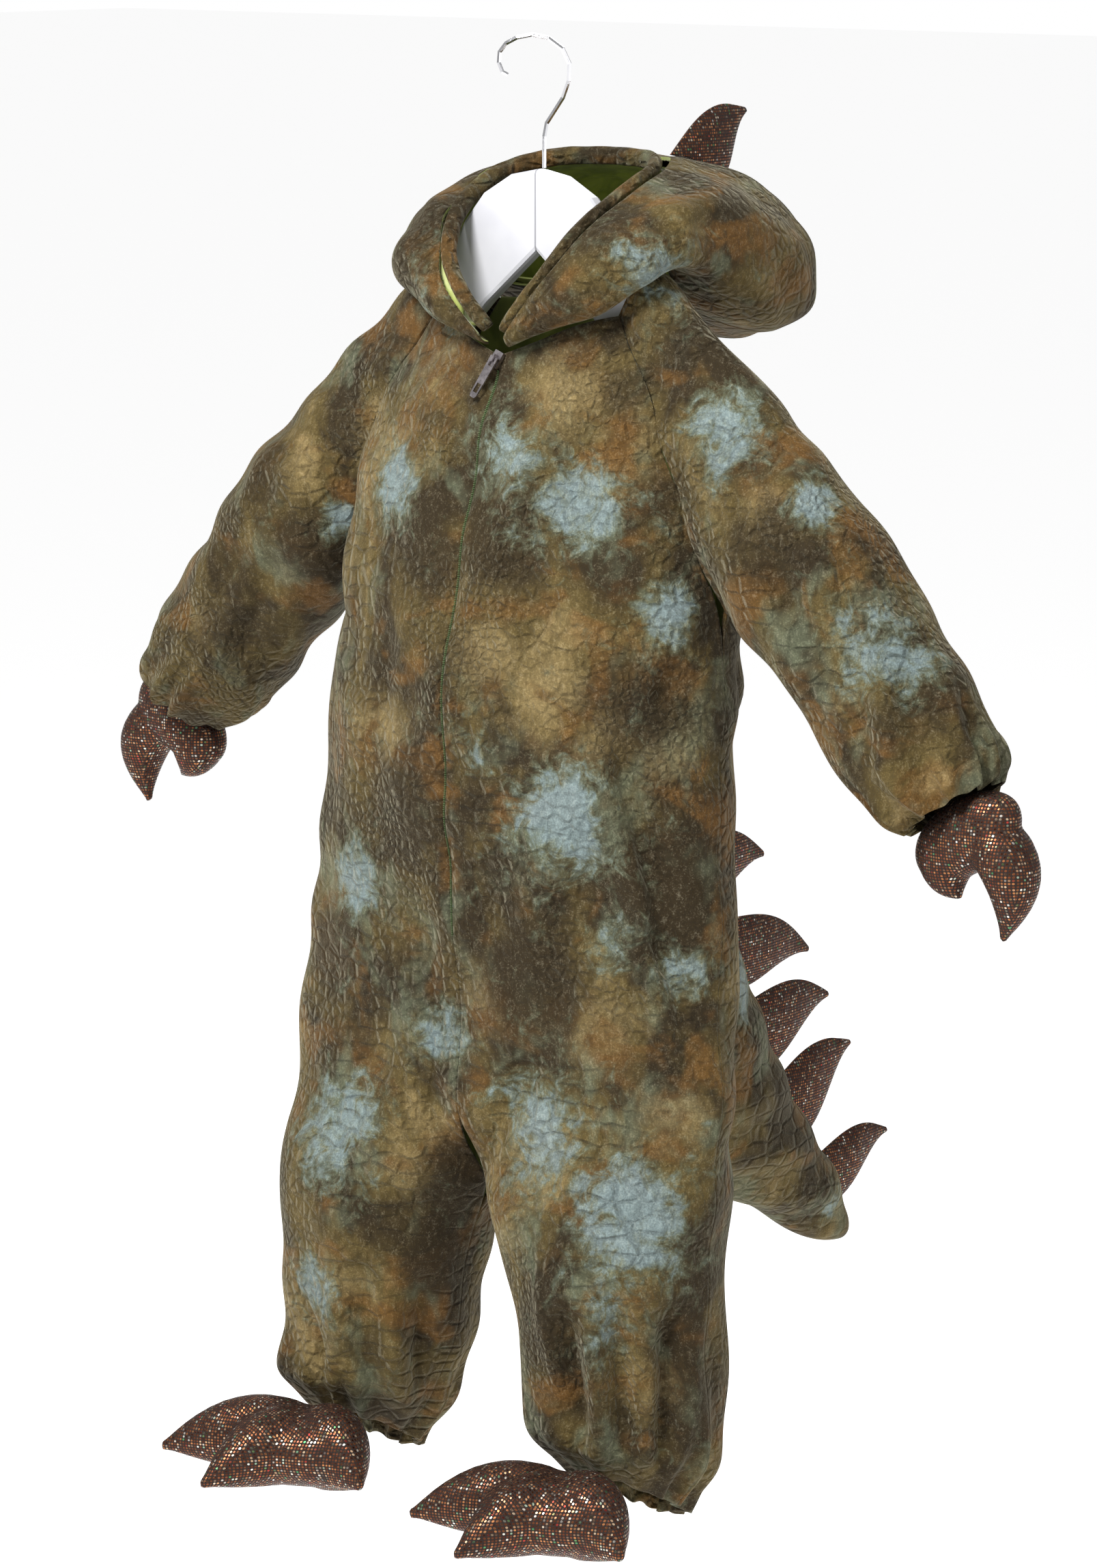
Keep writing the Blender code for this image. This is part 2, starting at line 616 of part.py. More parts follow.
def touches(mesh, carriers):
    """Whether a finished solid cuts any of its carriers."""
    return bool(tree_of([mesh]).overlap(carriers))


def add_tail(plush, backs, parts):
    tree = tree_of([back.data for back in backs])
    rings = []
    turn = 2 * math.pi * (np.arange(TAIL_SIDES) + 0.25) / TAIL_SIDES
    for y, z, half_width, half_height, lean in TAIL:
        lean = math.radians(lean)
        up = np.array([0.0, math.sin(lean), math.cos(lean)])
        rings.append(np.array([0.0, y, z]) + np.outer(np.cos(turn) * half_width, [1.0, 0.0, 0.0])
                     + np.outer(np.sin(turn) * half_height, up))
    base = rings[0]
    middle = base.mean(axis=0)
    for attempt in range(SEAT_TRIES):
        gap = SEAT_GAP + attempt * SEAT_STEP
        seat = []
        for share in (0.33, 0.67, 1.0):
            ring = middle + (base - middle) * share
            seat.append([seated(p, (0, -1, 0), tree, gap) for p in ring])
        mesh = solid_mesh("tail", seat + rings[1:])
        if not touches(mesh, tree):
            break
    return add_object("tail", mesh, plush, parts)


def add_plate(row, carriers, foil, parts):
    name, base_y, base_z, tip_y, tip_z, base_length, thickness = row
    base = np.array([0.0, base_y, base_z])
    tip = np.array([0.0, tip_y, tip_z])
    reach = np.linalg.norm(tip - base)
    outward = (tip - base) / reach
    square = np.array([0.0, -outward[2], outward[1]])
    tree = tree_of([carrier.data for carrier in carriers])
    beside = np.array([0.001, 0.0, 0.0])
    above = seated(base + beside + square * 0.3 * base_length, -outward, tree, 0.0, 0.06)
    below = seated(base + beside - square * 0.3 * base_length, -outward, tree, 0.0, 0.06)
    ridge = (above - below) / np.linalg.norm(above - below)
    base = 0.5 * (above + below) - beside
    turn = 2 * math.pi * (np.arange(PLATE_SIDES) + 0.25) / PLATE_SIDES
    rings = []
    for share in (0.0, 0.16, 0.36, 0.56, 0.75, 0.90, 1.0):
        half_chord = max(0.5 * base_length * (1 - share**1.8) ** 0.9, 0.0024)
        half_thick = 0.5 * thickness * (0.45 + 0.55 * math.sin(math.pi * min(1.0, share + 0.22)) ** 0.7)
        half_thick = max(half_thick * (1 - 0.55 * share**3), 0.0016)
        chord = ridge * (1 - share) + square * share
        chord /= np.linalg.norm(chord)
        centre = base + (tip - base) * share + square * (PLATE_BOW * reach * math.sin(math.pi * share) * share)
        rings.append(centre + np.outer(np.cos(turn) * half_thick, [1.0, 0.0, 0.0])
                     + np.outer(np.sin(turn) * half_chord, chord))
    foot = rings[0]
    for attempt in range(SEAT_TRIES):
        gap = SEAT_GAP + attempt * SEAT_STEP
        inner_foot = foot.mean(axis=0) + 0.5 * (foot - foot.mean(axis=0))
        seat = [[seated(p, -outward, tree, gap, 0.05) for p in ring] for ring in (inner_foot, foot)]
        mesh = solid_mesh(name, seat + rings[1:])
        if not touches(mesh, tree):
            break
    return add_object(name, mesh, foil, parts)


def join_solids(name, things, finish, parts):
    """One closed body from overlapping closed shapes."""
    first = things[0]
    for other in things[1:]:
        cut = first.modifiers.new("join", "BOOLEAN")
        cut.operation = "UNION"
        cut.solver = "EXACT"
        cut.object = other
    bpy.context.view_layer.update()
    mesh = bpy.data.meshes.new_from_object(first.evaluated_get(bpy.context.evaluated_depsgraph_get()))
    for thing in things:
        bpy.data.objects.remove(thing)
    mesh.name = name
    mesh.materials.clear()
    tidy = bmesh.new()
    tidy.from_mesh(mesh)
    bmesh.ops.remove_doubles(tidy, verts=tidy.verts, dist=2e-5)
    bmesh.ops.triangulate(tidy, faces=tidy.faces)
    tidy.to_mesh(mesh)
    tidy.free()
    mesh.set_sharp_from_angle(angle=math.radians(50))
    return add_object(name, mesh, finish, parts)


def ellipsoid(name, centre, size, cutters, turn=0.0):
    made = bmesh.new()
    bmesh.ops.create_uvsphere(made, u_segments=14, v_segments=8, radius=1.0)
    for vertex in made.verts:
        x, y, z = (vertex.co[k] * size[k] for k in range(3))
        vertex.co = (centre[0] + x * math.cos(turn) - z * math.sin(turn), centre[1] + y,
                     centre[2] + x * math.sin(turn) + z * math.cos(turn))
    mesh = bpy.data.meshes.new(name)
    made.to_mesh(mesh)
    made.free()
    thing = bpy.data.objects.new(name, mesh)
    cutters.objects.link(thing)
    return thing


def lobe(name, root, bend, tip, half_width, half_height, cutters):
    """A stuffed claw or toe along a curve, widest near its root, blunt at its tip."""
    rings_route, radii = [], []
    for share in (0.0, 0.10, 0.26, 0.46, 0.66, 0.84, 0.95, 1.0):
        point = (1 - share) ** 2 * np.array(root) + 2 * share * (1 - share) * np.array(bend) + share**2 * np.array(tip)
        grow = math.sqrt(max(0.0, 1 - (2.1 * (0.34 - share)) ** 2)) if share < 0.34 else 1.0
        shrink = 1.0 if share < 0.34 else max(0.12, 1 - ((share - 0.34) / 0.67) ** 2.0)
        rings_route.append(point)
        radii.append((half_width * grow * shrink, half_height * grow * shrink))
    rings = tube_rings(rings_route, radii, 9)
    thing = bpy.data.objects.new(name, solid_mesh(name, rings))
    cutters.objects.link(thing)
    return thing


def add_mitts(foil, parts, cutters):
    for side, side_name in ((1, "left"), (-1, "right")):
        name = f"mitt_{side_name}"
        x, y, z = PALM
        shapes = [ellipsoid(f"{name}_palm", (side * x, y, z), PALM_SIZE, cutters,
                            side * math.radians(PALM_TURN))]
        for root_x, root_z, bend_x, bend_z, tip_x, tip_z, radius in CLAWS:
            shapes.append(lobe(f"{name}_claw", (side * root_x, y, root_z), (side * bend_x, y - 0.002, bend_z),
                               (side * tip_x, y - 0.004, tip_z), radius * 0.9, radius, cutters))
        join_solids(name, shapes, foil, parts)


def add_feet(foil, parts, cutters):
    for side, side_name in ((1, "left"), (-1, "right")):
        name = f"foot_{side_name}"
        cx, cy, cz = side * FOOT_CENTRE[0], FOOT_CENTRE[1], FOOT_CENTRE[2]
        shapes = [ellipsoid(f"{name}_instep", (cx, cy, cz), FOOT_SIZE, cutters)]
        heel = np.array([cx, FOOT_CENTRE[1] + 0.020, cz + 0.004])
        for turn, reach, half_width, half_height, drop in TOES:
            ahead = np.array([-math.sin(math.radians(turn)), -math.cos(math.radians(turn)), 0.0])
            tip = np.array([cx, -0.050, cz]) + ahead * reach * 0.95 + np.array([0, 0, -drop + 0.004])
            bend = 0.5 * (heel + tip) + np.array([0.0, 0.0, 0.010])
            shapes.append(lobe(f"{name}_toe", heel + ahead * 0.012, bend, tip, half_width, half_height, cutters))
        join_solids(name, shapes, foil, parts)


def add_hanger(gloss, chrome, parts):
    outline = list(HANGER_TOP) + list(HANGER_UNDER)
    whole = outline + [(-x, z) for x, z in reversed(outline[1:-1])]
    curve = bpy.data.curves.new("hanger", "CURVE")
    curve.dimensions = "2D"
    curve.fill_mode = "BOTH"
    curve.extrude = 0.5 * HANGER_THICK - HANGER_EDGE
    curve.bevel_depth = HANGER_EDGE
    curve.bevel_resolution = 1
    spline = curve.splines.new("POLY")
    spline.points.add(len(whole) - 1)
    spline.use_cyclic_u = True
    for point, (x, z) in zip(spline.points, whole):
        inset = 1 - HANGER_EDGE / 0.15
        point.co = (x * inset, z + (0.5 * HANGER_EDGE if z < -0.13 else -HANGER_EDGE), 0, 1)
    flat = bpy.data.objects.new("hanger_outline", curve)
    flat.rotation_euler = (math.radians(90), 0, 0)
    flat.location = (0, HANGER_Y, 0)
    parts.objects.link(flat)
    bpy.context.view_layer.update()
    mesh = bpy.data.meshes.new_from_object(flat.evaluated_get(bpy.context.evaluated_depsgraph_get()))
    mesh.transform(flat.matrix_world)
    bpy.data.objects.remove(flat)
    weld = bmesh.new()
    weld.from_mesh(mesh)
    bmesh.ops.remove_doubles(weld, verts=weld.verts, dist=1e-5)
    bmesh.ops.recalc_face_normals(weld, faces=weld.faces)
    weld.to_mesh(mesh)
    weld.free()
    mesh.name = "hanger_wood"
    mesh.materials.clear()
    mesh.set_sharp_from_angle(angle=math.radians(50))
    add_object("hanger_wood", mesh, gloss, parts)
    turn = math.radians(HOOK_TURN)
    route = []
    for s, z in HOOK_ROUTE:
        low = np.clip(-z / 0.06, 0, 1)
        route.append((s * math.cos(turn) * (1 - low) + 0.0 * low + s * math.cos(turn) * low * 0.4,
                      s * math.sin(turn) + HANGER_Y * low * 0.75, z))
    fine = []
    for start, end in zip(route[:-1], route[1:]):
        fine += [start, tuple(0.5 * (np.array(start) + np.array(end)))]
    fine.append(route[-1])
    rings = tube_rings(fine, [(HOOK_WIRE / 2, HOOK_WIRE / 2)] * len(fine), 6)
    add_object("hanger_hook", solid_mesh("hanger_hook", rings), chrome, parts)


def slider_seat():
    """Where the slider rests on the front seam, with its outward and down directions."""
    top = plain_body(-0.5 * math.pi, SLIDER_AT)
    outward = body_normal(-0.5 * math.pi, SLIDER_AT)
    down = np.array([0.0, outward[2], -outward[1]])
    return top, outward, down if down[2] < 0 else -down


def frame_box(made, centre, half, axes):
    """Adds a box to a mesh in the making, along three given directions."""
    result = bmesh.ops.create_cube(made, size=2.0)
    for vertex in result["verts"]:
        local = vertex.co.copy()
        vertex.co = Vector(centre) + sum((Vector(axes[k]) * local[k] * half[k] for k in range(3)), Vector())


def add_slider_and_tab(top, outward, down, metal, parts, cutters):
    """Slider with an arched bridge, and a pull tab whose eye hangs on the bridge."""
    turn = math.radians(TAB_TURN)
    hang = np.array(down) * math.cos(turn) + np.array([-1.0, 0.0, 0.0]) * math.sin(turn)
    across = np.cross(hang, outward)
    across /= np.linalg.norm(across)
    axes = (across, hang, outward)
    wide, tall, thick = SLIDER_SIZE
    floor = np.array(top) + np.array(outward) * (SEAT_GAP + 0.5 * thick)
    bar = 0.0012
    opening = 0.0030
    pivot = floor + np.array(outward) * (0.5 * thick + 0.0012)
    shapes = []
    pieces = [(floor, (0.5 * wide, 0.5 * tall, 0.5 * thick))]
    for sign in (-1, 1):
        leg = floor + np.array(hang) * sign * (0.5 * opening + 0.5 * bar) + np.array(outward) * 0.0025
        pieces.append((leg, (0.0009, 0.5 * bar, 0.0019)))
    arch = floor + np.array(outward) * (0.5 * thick + 0.0012 + 0.0010 + 0.5 * bar)
    pieces.append((arch, (0.0009, 0.5 * opening + bar, 0.5 * bar)))
    for k, (centre, half) in enumerate(pieces):
        made = bmesh.new()
        frame_box(made, centre, half, axes)
        mesh = bpy.data.meshes.new(f"slider_{k}")
        bmesh.ops.recalc_face_normals(made, faces=made.faces)
        made.to_mesh(mesh)
        made.free()
        shapes.append(bpy.data.objects.new(f"slider_{k}", mesh))
        cutters.objects.link(shapes[-1])
    join_solids("zip_slider", shapes, metal, parts)
    tip = 0.0009
    outline = [(-0.5 * TAB_WIDTH, -tip), (0.5 * TAB_WIDTH, -tip), (0.5 * TAB_WIDTH * 0.86, TAB_LENGTH - 0.002),
               (0.5 * TAB_WIDTH * 0.6, TAB_LENGTH), (-0.5 * TAB_WIDTH * 0.6, TAB_LENGTH),
               (-0.5 * TAB_WIDTH * 0.86, TAB_LENGTH - 0.002)]
    eye = [(-0.0017, 0.0008), (0.0017, 0.0008), (0.0017, 0.0058), (-0.0017, 0.0058)]
    hole = [(-0.0018, TAB_LENGTH - 0.0100), (0.0018, TAB_LENGTH - 0.0100),
            (0.0018, TAB_LENGTH - 0.0036), (-0.0018, TAB_LENGTH - 0.0036)]
    curve = bpy.data.curves.new("zip_pull", "CURVE")
    curve.dimensions = "2D"
    curve.fill_mode = "BOTH"
    curve.extrude = 0.5 * TAB_THICK
    for shape in (outline, eye, hole):
        spline = curve.splines.new("POLY")
        spline.points.add(len(shape) - 1)
        spline.use_cyclic_u = True
        for point, (x, y) in zip(spline.points, shape):
            point.co = (x, y, 0, 1)
    flat = bpy.data.objects.new("zip_pull_outline", curve)
    parts.objects.link(flat)
    bpy.context.view_layer.update()
    mesh = bpy.data.meshes.new_from_object(flat.evaluated_get(bpy.context.evaluated_depsgraph_get()))
    bpy.data.objects.remove(flat)
    weld = bmesh.new()
    weld.from_mesh(mesh)
    bmesh.ops.remove_doubles(weld, verts=weld.verts, dist=1e-5)
    bmesh.ops.recalc_face_normals(weld, faces=weld.faces)
    for vertex in weld.verts:
        local = vertex.co.copy()
        vertex.co = Vector(across) * local.x + Vector(hang) * local.y + Vector(outward) * local.z
    weld.to_mesh(mesh)
    weld.free()
    if mesh_volume(mesh) < 0:
        mesh.flip_normals()
    mesh.name = "zip_pull"
    mesh.materials.clear()
    tab = add_object("zip_pull", mesh, metal, parts)
    tab.location = pivot
    mesh.set_sharp_from_angle(angle=math.radians(30))
    return pivot, across


def mesh_volume(mesh):
    made = bmesh.new()
    made.from_mesh(mesh)
    volume = made.calc_volume(signed=True)
    made.free()
    return volume


def build():
    for thing in list(bpy.data.objects):
        bpy.data.objects.remove(thing)
    scene = bpy.context.scene
    parts = bpy.data.collections.new("dinosaur_costume")
    scene.collection.children.link(parts)
    cutters = bpy.data.collections.new("cutters")
    scene.collection.children.link(cutters)
    plush = material("plush", (0.16, 0.11, 0.05), 0.95)
    satin = material("satin_lining", (0.38, 0.42, 0.10), 0.40)
    foil = material("foil_cloth", (0.10, 0.05, 0.03), 0.35, 0.6)
    gloss = material("white_gloss", (0.85, 0.85, 0.87), 0.20)
    chrome = material("chrome", (0.75, 0.75, 0.77), 0.12, 1.0)
    zip_metal = material("zip_metal", (0.35, 0.33, 0.34), 0.30, 1.0)
    panels = add_body_panels(plush, parts)
    backs = [p for p in panels if p.name.startswith("back")]
    add_sleeves(plush, parts)
    hood = add_hood(plush, satin, parts)
    hood_centre = [p for p in hood if p.name == "hood_centre"][0]
    tail = add_tail(plush, backs, parts)
    for row in PLATES:
        carriers = [hood_centre] if "hood" in row[0] else backs + [tail]
        add_plate(row, carriers, foil, parts)
    add_mitts(foil, parts, cutters)
    add_feet(foil, parts, cutters)
    add_hanger(gloss, chrome, parts)
    pivot, across = add_slider_and_tab(*slider_seat(), zip_metal, parts, cutters)
    print("pull tab pivot", [round(float(v), 5) for v in pivot], "axis", [round(float(v), 5) for v in across])


build()
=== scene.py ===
import json
import math

import bmesh
import bpy
import numpy as np
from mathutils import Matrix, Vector
from mathutils.bvhtree import BVHTree

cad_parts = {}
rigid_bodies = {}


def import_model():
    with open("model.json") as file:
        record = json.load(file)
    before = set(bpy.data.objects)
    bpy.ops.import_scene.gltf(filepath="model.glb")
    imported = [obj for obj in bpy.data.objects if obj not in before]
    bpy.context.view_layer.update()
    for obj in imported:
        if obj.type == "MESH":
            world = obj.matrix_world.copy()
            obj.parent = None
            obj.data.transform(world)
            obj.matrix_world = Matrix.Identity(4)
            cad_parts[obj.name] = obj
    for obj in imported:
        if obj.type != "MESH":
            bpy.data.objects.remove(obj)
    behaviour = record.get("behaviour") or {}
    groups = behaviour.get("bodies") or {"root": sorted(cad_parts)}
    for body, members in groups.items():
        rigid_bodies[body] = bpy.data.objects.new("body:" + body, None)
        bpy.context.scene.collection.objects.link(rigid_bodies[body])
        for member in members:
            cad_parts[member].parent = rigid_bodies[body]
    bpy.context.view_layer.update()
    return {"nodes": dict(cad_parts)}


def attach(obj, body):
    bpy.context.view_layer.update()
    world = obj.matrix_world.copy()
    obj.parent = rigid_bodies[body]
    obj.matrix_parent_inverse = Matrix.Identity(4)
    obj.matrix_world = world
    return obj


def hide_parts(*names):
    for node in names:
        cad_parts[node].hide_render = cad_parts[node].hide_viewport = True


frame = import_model()
nodes = frame["nodes"]
print("frame loaded:", len(nodes), "nodes")

# camera, floor and light

cameraLook = {"azimuth": 40.0, "elevation": 10.4, "distance": 3.4, "lens": 118.0,
              "target": (0.00812, 0.00681, -0.48945)}
room = {"floorHeight": -1.32, "floorSize": 60.0, "skyLight": 0.42, "skySeen": 1.0, "floorGlow": 0.55,
        "keyPower": 92.0, "fillPower": 7.0, "rimPower": 14.0}


def directionFrom(azimuth, elevation):
    a, e = math.radians(azimuth), math.radians(elevation)
    return Vector((math.sin(a) * math.cos(e), -math.cos(a) * math.cos(e), math.sin(e)))


def addCamera():
    data = bpy.data.cameras.new("camera")
    data.lens = cameraLook["lens"]
    data.clip_end = 100
    camera = bpy.data.objects.new("camera", data)
    back = directionFrom(cameraLook["azimuth"], cameraLook["elevation"])
    camera.location = Vector(cameraLook["target"]) + back * cameraLook["distance"]
    camera.rotation_euler = back.to_track_quat("Z", "Y").to_euler()
    bpy.context.scene.collection.objects.link(camera)
    bpy.context.scene.camera = camera


def addLight(name, azimuth, elevation, distance, size, power):
    data = bpy.data.lights.new(name, "AREA")
    data.shape = "DISK"
    data.size = size
    data.energy = power
    lamp = bpy.data.objects.new(name, data)
    back = directionFrom(azimuth, elevation)
    lamp.location = Vector((0, 0, -0.5)) + back * distance
    lamp.rotation_euler = back.to_track_quat("Z", "Y").to_euler()
    bpy.context.scene.collection.objects.link(lamp)


def addRoom():
    world = bpy.data.worlds.new("studio")
    world.use_nodes = True
    sky = world.node_tree.nodes["Background"]
    sky.inputs["Color"].default_value = (1, 1, 1, 1)
    path = world.node_tree.nodes.new("ShaderNodeLightPath")
    level = world.node_tree.nodes.new("ShaderNodeMapRange")   # white paper behind, softer light on the cloth
    level.inputs["To Min"].default_value = room["skyLight"]
    level.inputs["To Max"].default_value = room["skySeen"]
    world.node_tree.links.new(path.outputs["Is Camera Ray"], level.inputs["Value"])
    world.node_tree.links.new(level.outputs[0], sky.inputs["Strength"])
    bpy.context.scene.world = world
    bpy.context.scene.view_settings.view_transform = "Standard"
    half = room["floorSize"] / 2
    mesh = bpy.data.meshes.new("floor")
    corners = [(-half, -half), (half, -half), (half, half), (-half, half)]
    mesh.from_pydata([(x, y, room["floorHeight"]) for x, y in corners], [], [(0, 1, 2, 3)])
    floor = bpy.data.objects.new("floor", mesh)
    bpy.context.scene.collection.objects.link(floor)
    paper = bpy.data.materials.new("floorPaper")
    paper.use_nodes = True
    shader = paper.node_tree.nodes["Principled BSDF"]
    shader.inputs["Base Color"].default_value = (0.96, 0.96, 0.96, 1)
    shader.inputs["Roughness"].default_value = 0.9
    shader.inputs["Emission Color"].default_value = (1, 1, 1, 1)
    shader.inputs["Emission Strength"].default_value = room["floorGlow"]
    mesh.materials.append(paper)


addCamera()
addRoom()
addLight("keyLight", 5, 50, 2.7, 0.9, room["keyPower"])
addLight("fillLight", 95, 15, 3.0, 1.8, room["fillPower"])
addLight("rimLight", 215, 35, 3.0, 1.5, room["rimPower"])
print("camera, floor and lights")

# shader maths


class Sock:
    # wraps one output socket, so that sums and products add Math nodes
    def __init__(self, graph, socket):
        self.graph, self.socket = graph, socket

    def combine(self, other, operation, flip=False):
        first, second = (other, self) if flip else (self, other)
        return self.graph.node("ShaderNodeMath", {"operation": operation}, {0: first, 1: second})

    def __add__(self, other): return self.combine(other, "ADD")
    def __radd__(self, other): return self.combine(other, "ADD", True)
    def __sub__(self, other): return self.combine(other, "SUBTRACT")
    def __rsub__(self, other): return self.combine(other, "SUBTRACT", True)
    def __mul__(self, other): return self.combine(other, "MULTIPLY")
    def __rmul__(self, other): return self.combine(other, "MULTIPLY", True)


class Graph:
    def __init__(self, name):
        self.material = bpy.data.materials.new(name)
        self.material.use_nodes = True
        self.tree = self.material.node_tree
        self.shader = self.tree.nodes["Principled BSDF"]

    def node(self, kind, settings=None, values=None, out=0):
        made = self.tree.nodes.new(kind)
        for key, value in (settings or {}).items():
            if key == "stops":
                ramp = made.color_ramp
                while len(ramp.elements) < len(value):
                    ramp.elements.new(0.5)
                for stop, (place, colour) in zip(ramp.elements, value):
                    stop.position, stop.color = place, (*colour, 1.0) if len(colour) == 3 else colour
            else:
                setattr(made, key, value)
        for key, value in (values or {}).items():
            socket = made.inputs[key]
            if isinstance(value, Sock):
                self.tree.links.new(value.socket, socket)
            else:
                socket.default_value = value
        return Sock(self, made.outputs[out])

    def place(self):
        return self.node("ShaderNodeTexCoord", out="Object")

    def turned(self, place, scale=(1, 1, 1), turn=(0, 0, 0)):
        return self.node("ShaderNodeMapping", {}, {"Vector": place, "Scale": scale, "Rotation": turn})

    def noise(self, place, scale, detail=2.0, rough=0.5, distortion=0.0):
        return self.node("ShaderNodeTexNoise", {}, {"Vector": place, "Scale": scale, "Detail": detail,
                                                    "Roughness": rough, "Distortion": distortion})

    def cells(self, place, scale, randomness):
        return self.node("ShaderNodeTexVoronoi", {"feature": "DISTANCE_TO_EDGE"},
                         {"Vector": place, "Scale": scale, "Randomness": randomness}, "Distance")

    def step(self, value, low, high, toLow=0.0, toHigh=1.0):
        ends = {"From Min": low, "From Max": high, "To Min": toLow, "To Max": toHigh}
        return self.node("ShaderNodeMapRange", {"interpolation_type": "SMOOTHSTEP"}, {"Value": value, **ends})

    def blend(self, amount, first, second):   # for plain numbers
        return self.node("ShaderNodeMix", {"data_type": "FLOAT"}, {0: amount, 2: first, 3: second})

    def mix(self, amount, first, second):   # for colours
        first = (*first, 1.0) if isinstance(first, tuple) else first
        second = (*second, 1.0) if isinstance(second, tuple) else second
        made = self.tree.nodes.new("ShaderNodeMix")
        made.data_type = "RGBA"
        for key, value in ((0, amount), (6, first), (7, second)):
            if isinstance(value, Sock):
                self.tree.links.new(value.socket, made.inputs[key])
            else:
                made.inputs[key].default_value = value
        return Sock(self, made.outputs[2])

    def bump(self, height, distance, strength=1.0, under=None):
        values = {"Height": height, "Distance": distance, "Strength": strength}
        if under is not None:
            values["Normal"] = under
        return self.node("ShaderNodeBump", {}, values)

    def finish(self, links, **fixed):
        for name, value in links.items():
            self.tree.links.new(value.socket, self.shader.inputs[name])
        for name, value in fixed.items():
            self.shader.inputs[name].default_value = value
        return self.material


# finishes

plushLook = {"olive": (0.112, 0.078, 0.022), "dark": (0.030, 0.019, 0.006), "rust": (0.165, 0.078, 0.016),
             "tan": (0.330, 0.240, 0.100), "teal": (0.150, 0.170, 0.105), "blue": (0.250, 0.330, 0.335),
             "blotchScale": 15.0, "scaleSize": 108.0, "pebbleSize": 165.0, "crocSize": 70.0,
             "scaleDepth": 0.0024, "wobble": 0.010, "napSize": 850.0}


def plushCloth():
    look = plushLook
    g = Graph("scalyPlush")
    place = g.place()
    warp = g.noise(place, 26.0, 4.0, 0.65, 0.6)
    patches = g.node("ShaderNodeAttribute", {"attribute_name": "patches"}, {}, "Color")
    split = g.tree.nodes.new("ShaderNodeSeparateColor")
    g.tree.links.new(patches.socket, split.inputs[0])
    bluePatch, darkPatch, tanPatch = (Sock(g, split.outputs[k]) for k in range(3))
    edge = warp - 0.5
    ragged = g.noise(place, 62.0, 4.0, 0.70, 1.2) - 0.5 + edge
    broad = g.noise(g.turned(place, (1, 1, 0.8)), look["blotchScale"], 3.0, 0.6, 0.5)
    rusty = g.noise(g.turned(place, (1.0, 1.0, 1.3), (0.4, 0.2, 0.1)), 19.0, 3.0, 0.6, 0.4)
    tealy = g.noise(g.turned(place, (1.2, 1.2, 0.8), (0.1, 0.5, 0.7)), 21.0, 3.0, 0.6, 0.4)
    colour = g.mix(g.step(broad, 0.40, 0.60), look["dark"], look["olive"])
    colour = g.mix(g.step(rusty, 0.50, 0.66) * 0.75, colour, look["rust"])
    colour = g.mix(g.step(tealy, 0.53, 0.70) * 0.65, colour, look["teal"])
    colour = g.mix(g.step(broad, 0.58, 0.72) * 0.60, colour, look["tan"])
    warm = g.mix(g.step(rusty, 0.42, 0.58), look["tan"], look["rust"])
    colour = g.mix(g.step(tanPatch + edge * 1.3, 0.15, 0.85) * 0.62, colour, warm)
    colour = g.mix(g.step(darkPatch + edge * 1.2, 0.12, 0.75) * 0.90, colour, look["dark"])
    pale = g.mix(g.step(bluePatch + ragged * 1.5, 0.35, 0.9), look["teal"], look["blue"])
    colour = g.mix(g.step(bluePatch + ragged * 1.5, 0.15, 0.65) * 0.85, colour, pale)
    # embossed scales: rounded ones nearly everywhere, pebbles and larger oblong ones by area
    shake = g.node("ShaderNodeTexNoise", {}, {"Vector": place, "Scale": 34.0}, "Color")
    wobble = g.node("ShaderNodeVectorMath", {"operation": "MULTIPLY_ADD"},
                    {0: shake, 1: (look["wobble"],) * 3, 2: place})
    area = g.noise(place, 9.0, 1.0)
    rounded = g.step(g.cells(g.turned(wobble, (1, 1, 1.15)), look["scaleSize"], randomness=0.8), 0.0, 0.30)
    pebble = g.step(g.cells(wobble, look["pebbleSize"], randomness=0.85), 0.0, 0.32)
    croc = g.step(g.cells(g.turned(wobble, (0.8, 0.8, 1.3)), look["crocSize"], randomness=0.6), 0.0, 0.17)
    height = g.blend(g.step(area, 0.53, 0.62), rounded, croc)
    height = g.blend(g.step(area, 0.42, 0.36), height, pebble)
    pressed = g.step(g.noise(place, 12.0, 2.0), 0.34, 0.52, 0.25, 1.0)   # the emboss fades out by areas
    height = 1 - (1 - height) * pressed
    nap = g.noise(place, look["napSize"], 2.0, 0.7)
    tuft = g.noise(g.turned(place, (1, 1, 0.6)), 300.0, 2.0, 0.6)
    soft = g.noise(place, 42.0, 2.0, 0.5)
    normal = g.bump(soft, 0.0050, 0.6)
    normal = g.bump(height, look["scaleDepth"], 0.80, normal)
    normal = g.bump(nap * 0.6 + tuft * 0.6, 0.0012, 0.65, normal)
    fuzz = nap * 0.6 + tuft * 0.4
    # painted shade: the base colour is darkened in the grooves between the embossed scales
    colour = g.mix(g.step(height, 0.0, 0.6, 0.20, 0.0), colour, (0.012, 0.009, 0.004))
    # painted shade and highlight in the pile: darker in its dips and paler on its tufts, after the same noises
    # as the nap bump
    colour = g.mix(g.step(fuzz, 0.35, 0.66, 0.42, 0.0), colour, (0.010, 0.007, 0.003))
    colour = g.mix(g.step(fuzz, 0.50, 0.74) * 0.17, colour, (0.55, 0.50, 0.36))
    rough = g.step(nap, 0.3, 0.7, 0.78, 0.95)
    g.shader.inputs["Sheen Weight"].default_value = 0.22
    g.shader.inputs["Sheen Roughness"].default_value = 0.35
    g.shader.inputs["Sheen Tint"].default_value = (0.85, 0.78, 0.55, 1)
    g.shader.inputs["Specular IOR Level"].default_value = 0.22
    return g.finish({"Base Color": colour, "Roughness": rough, "Normal": normal})


foilLook = {"ground": (0.012, 0.005, 0.003), "pitch": 0.0020, "dotSize": 0.38}


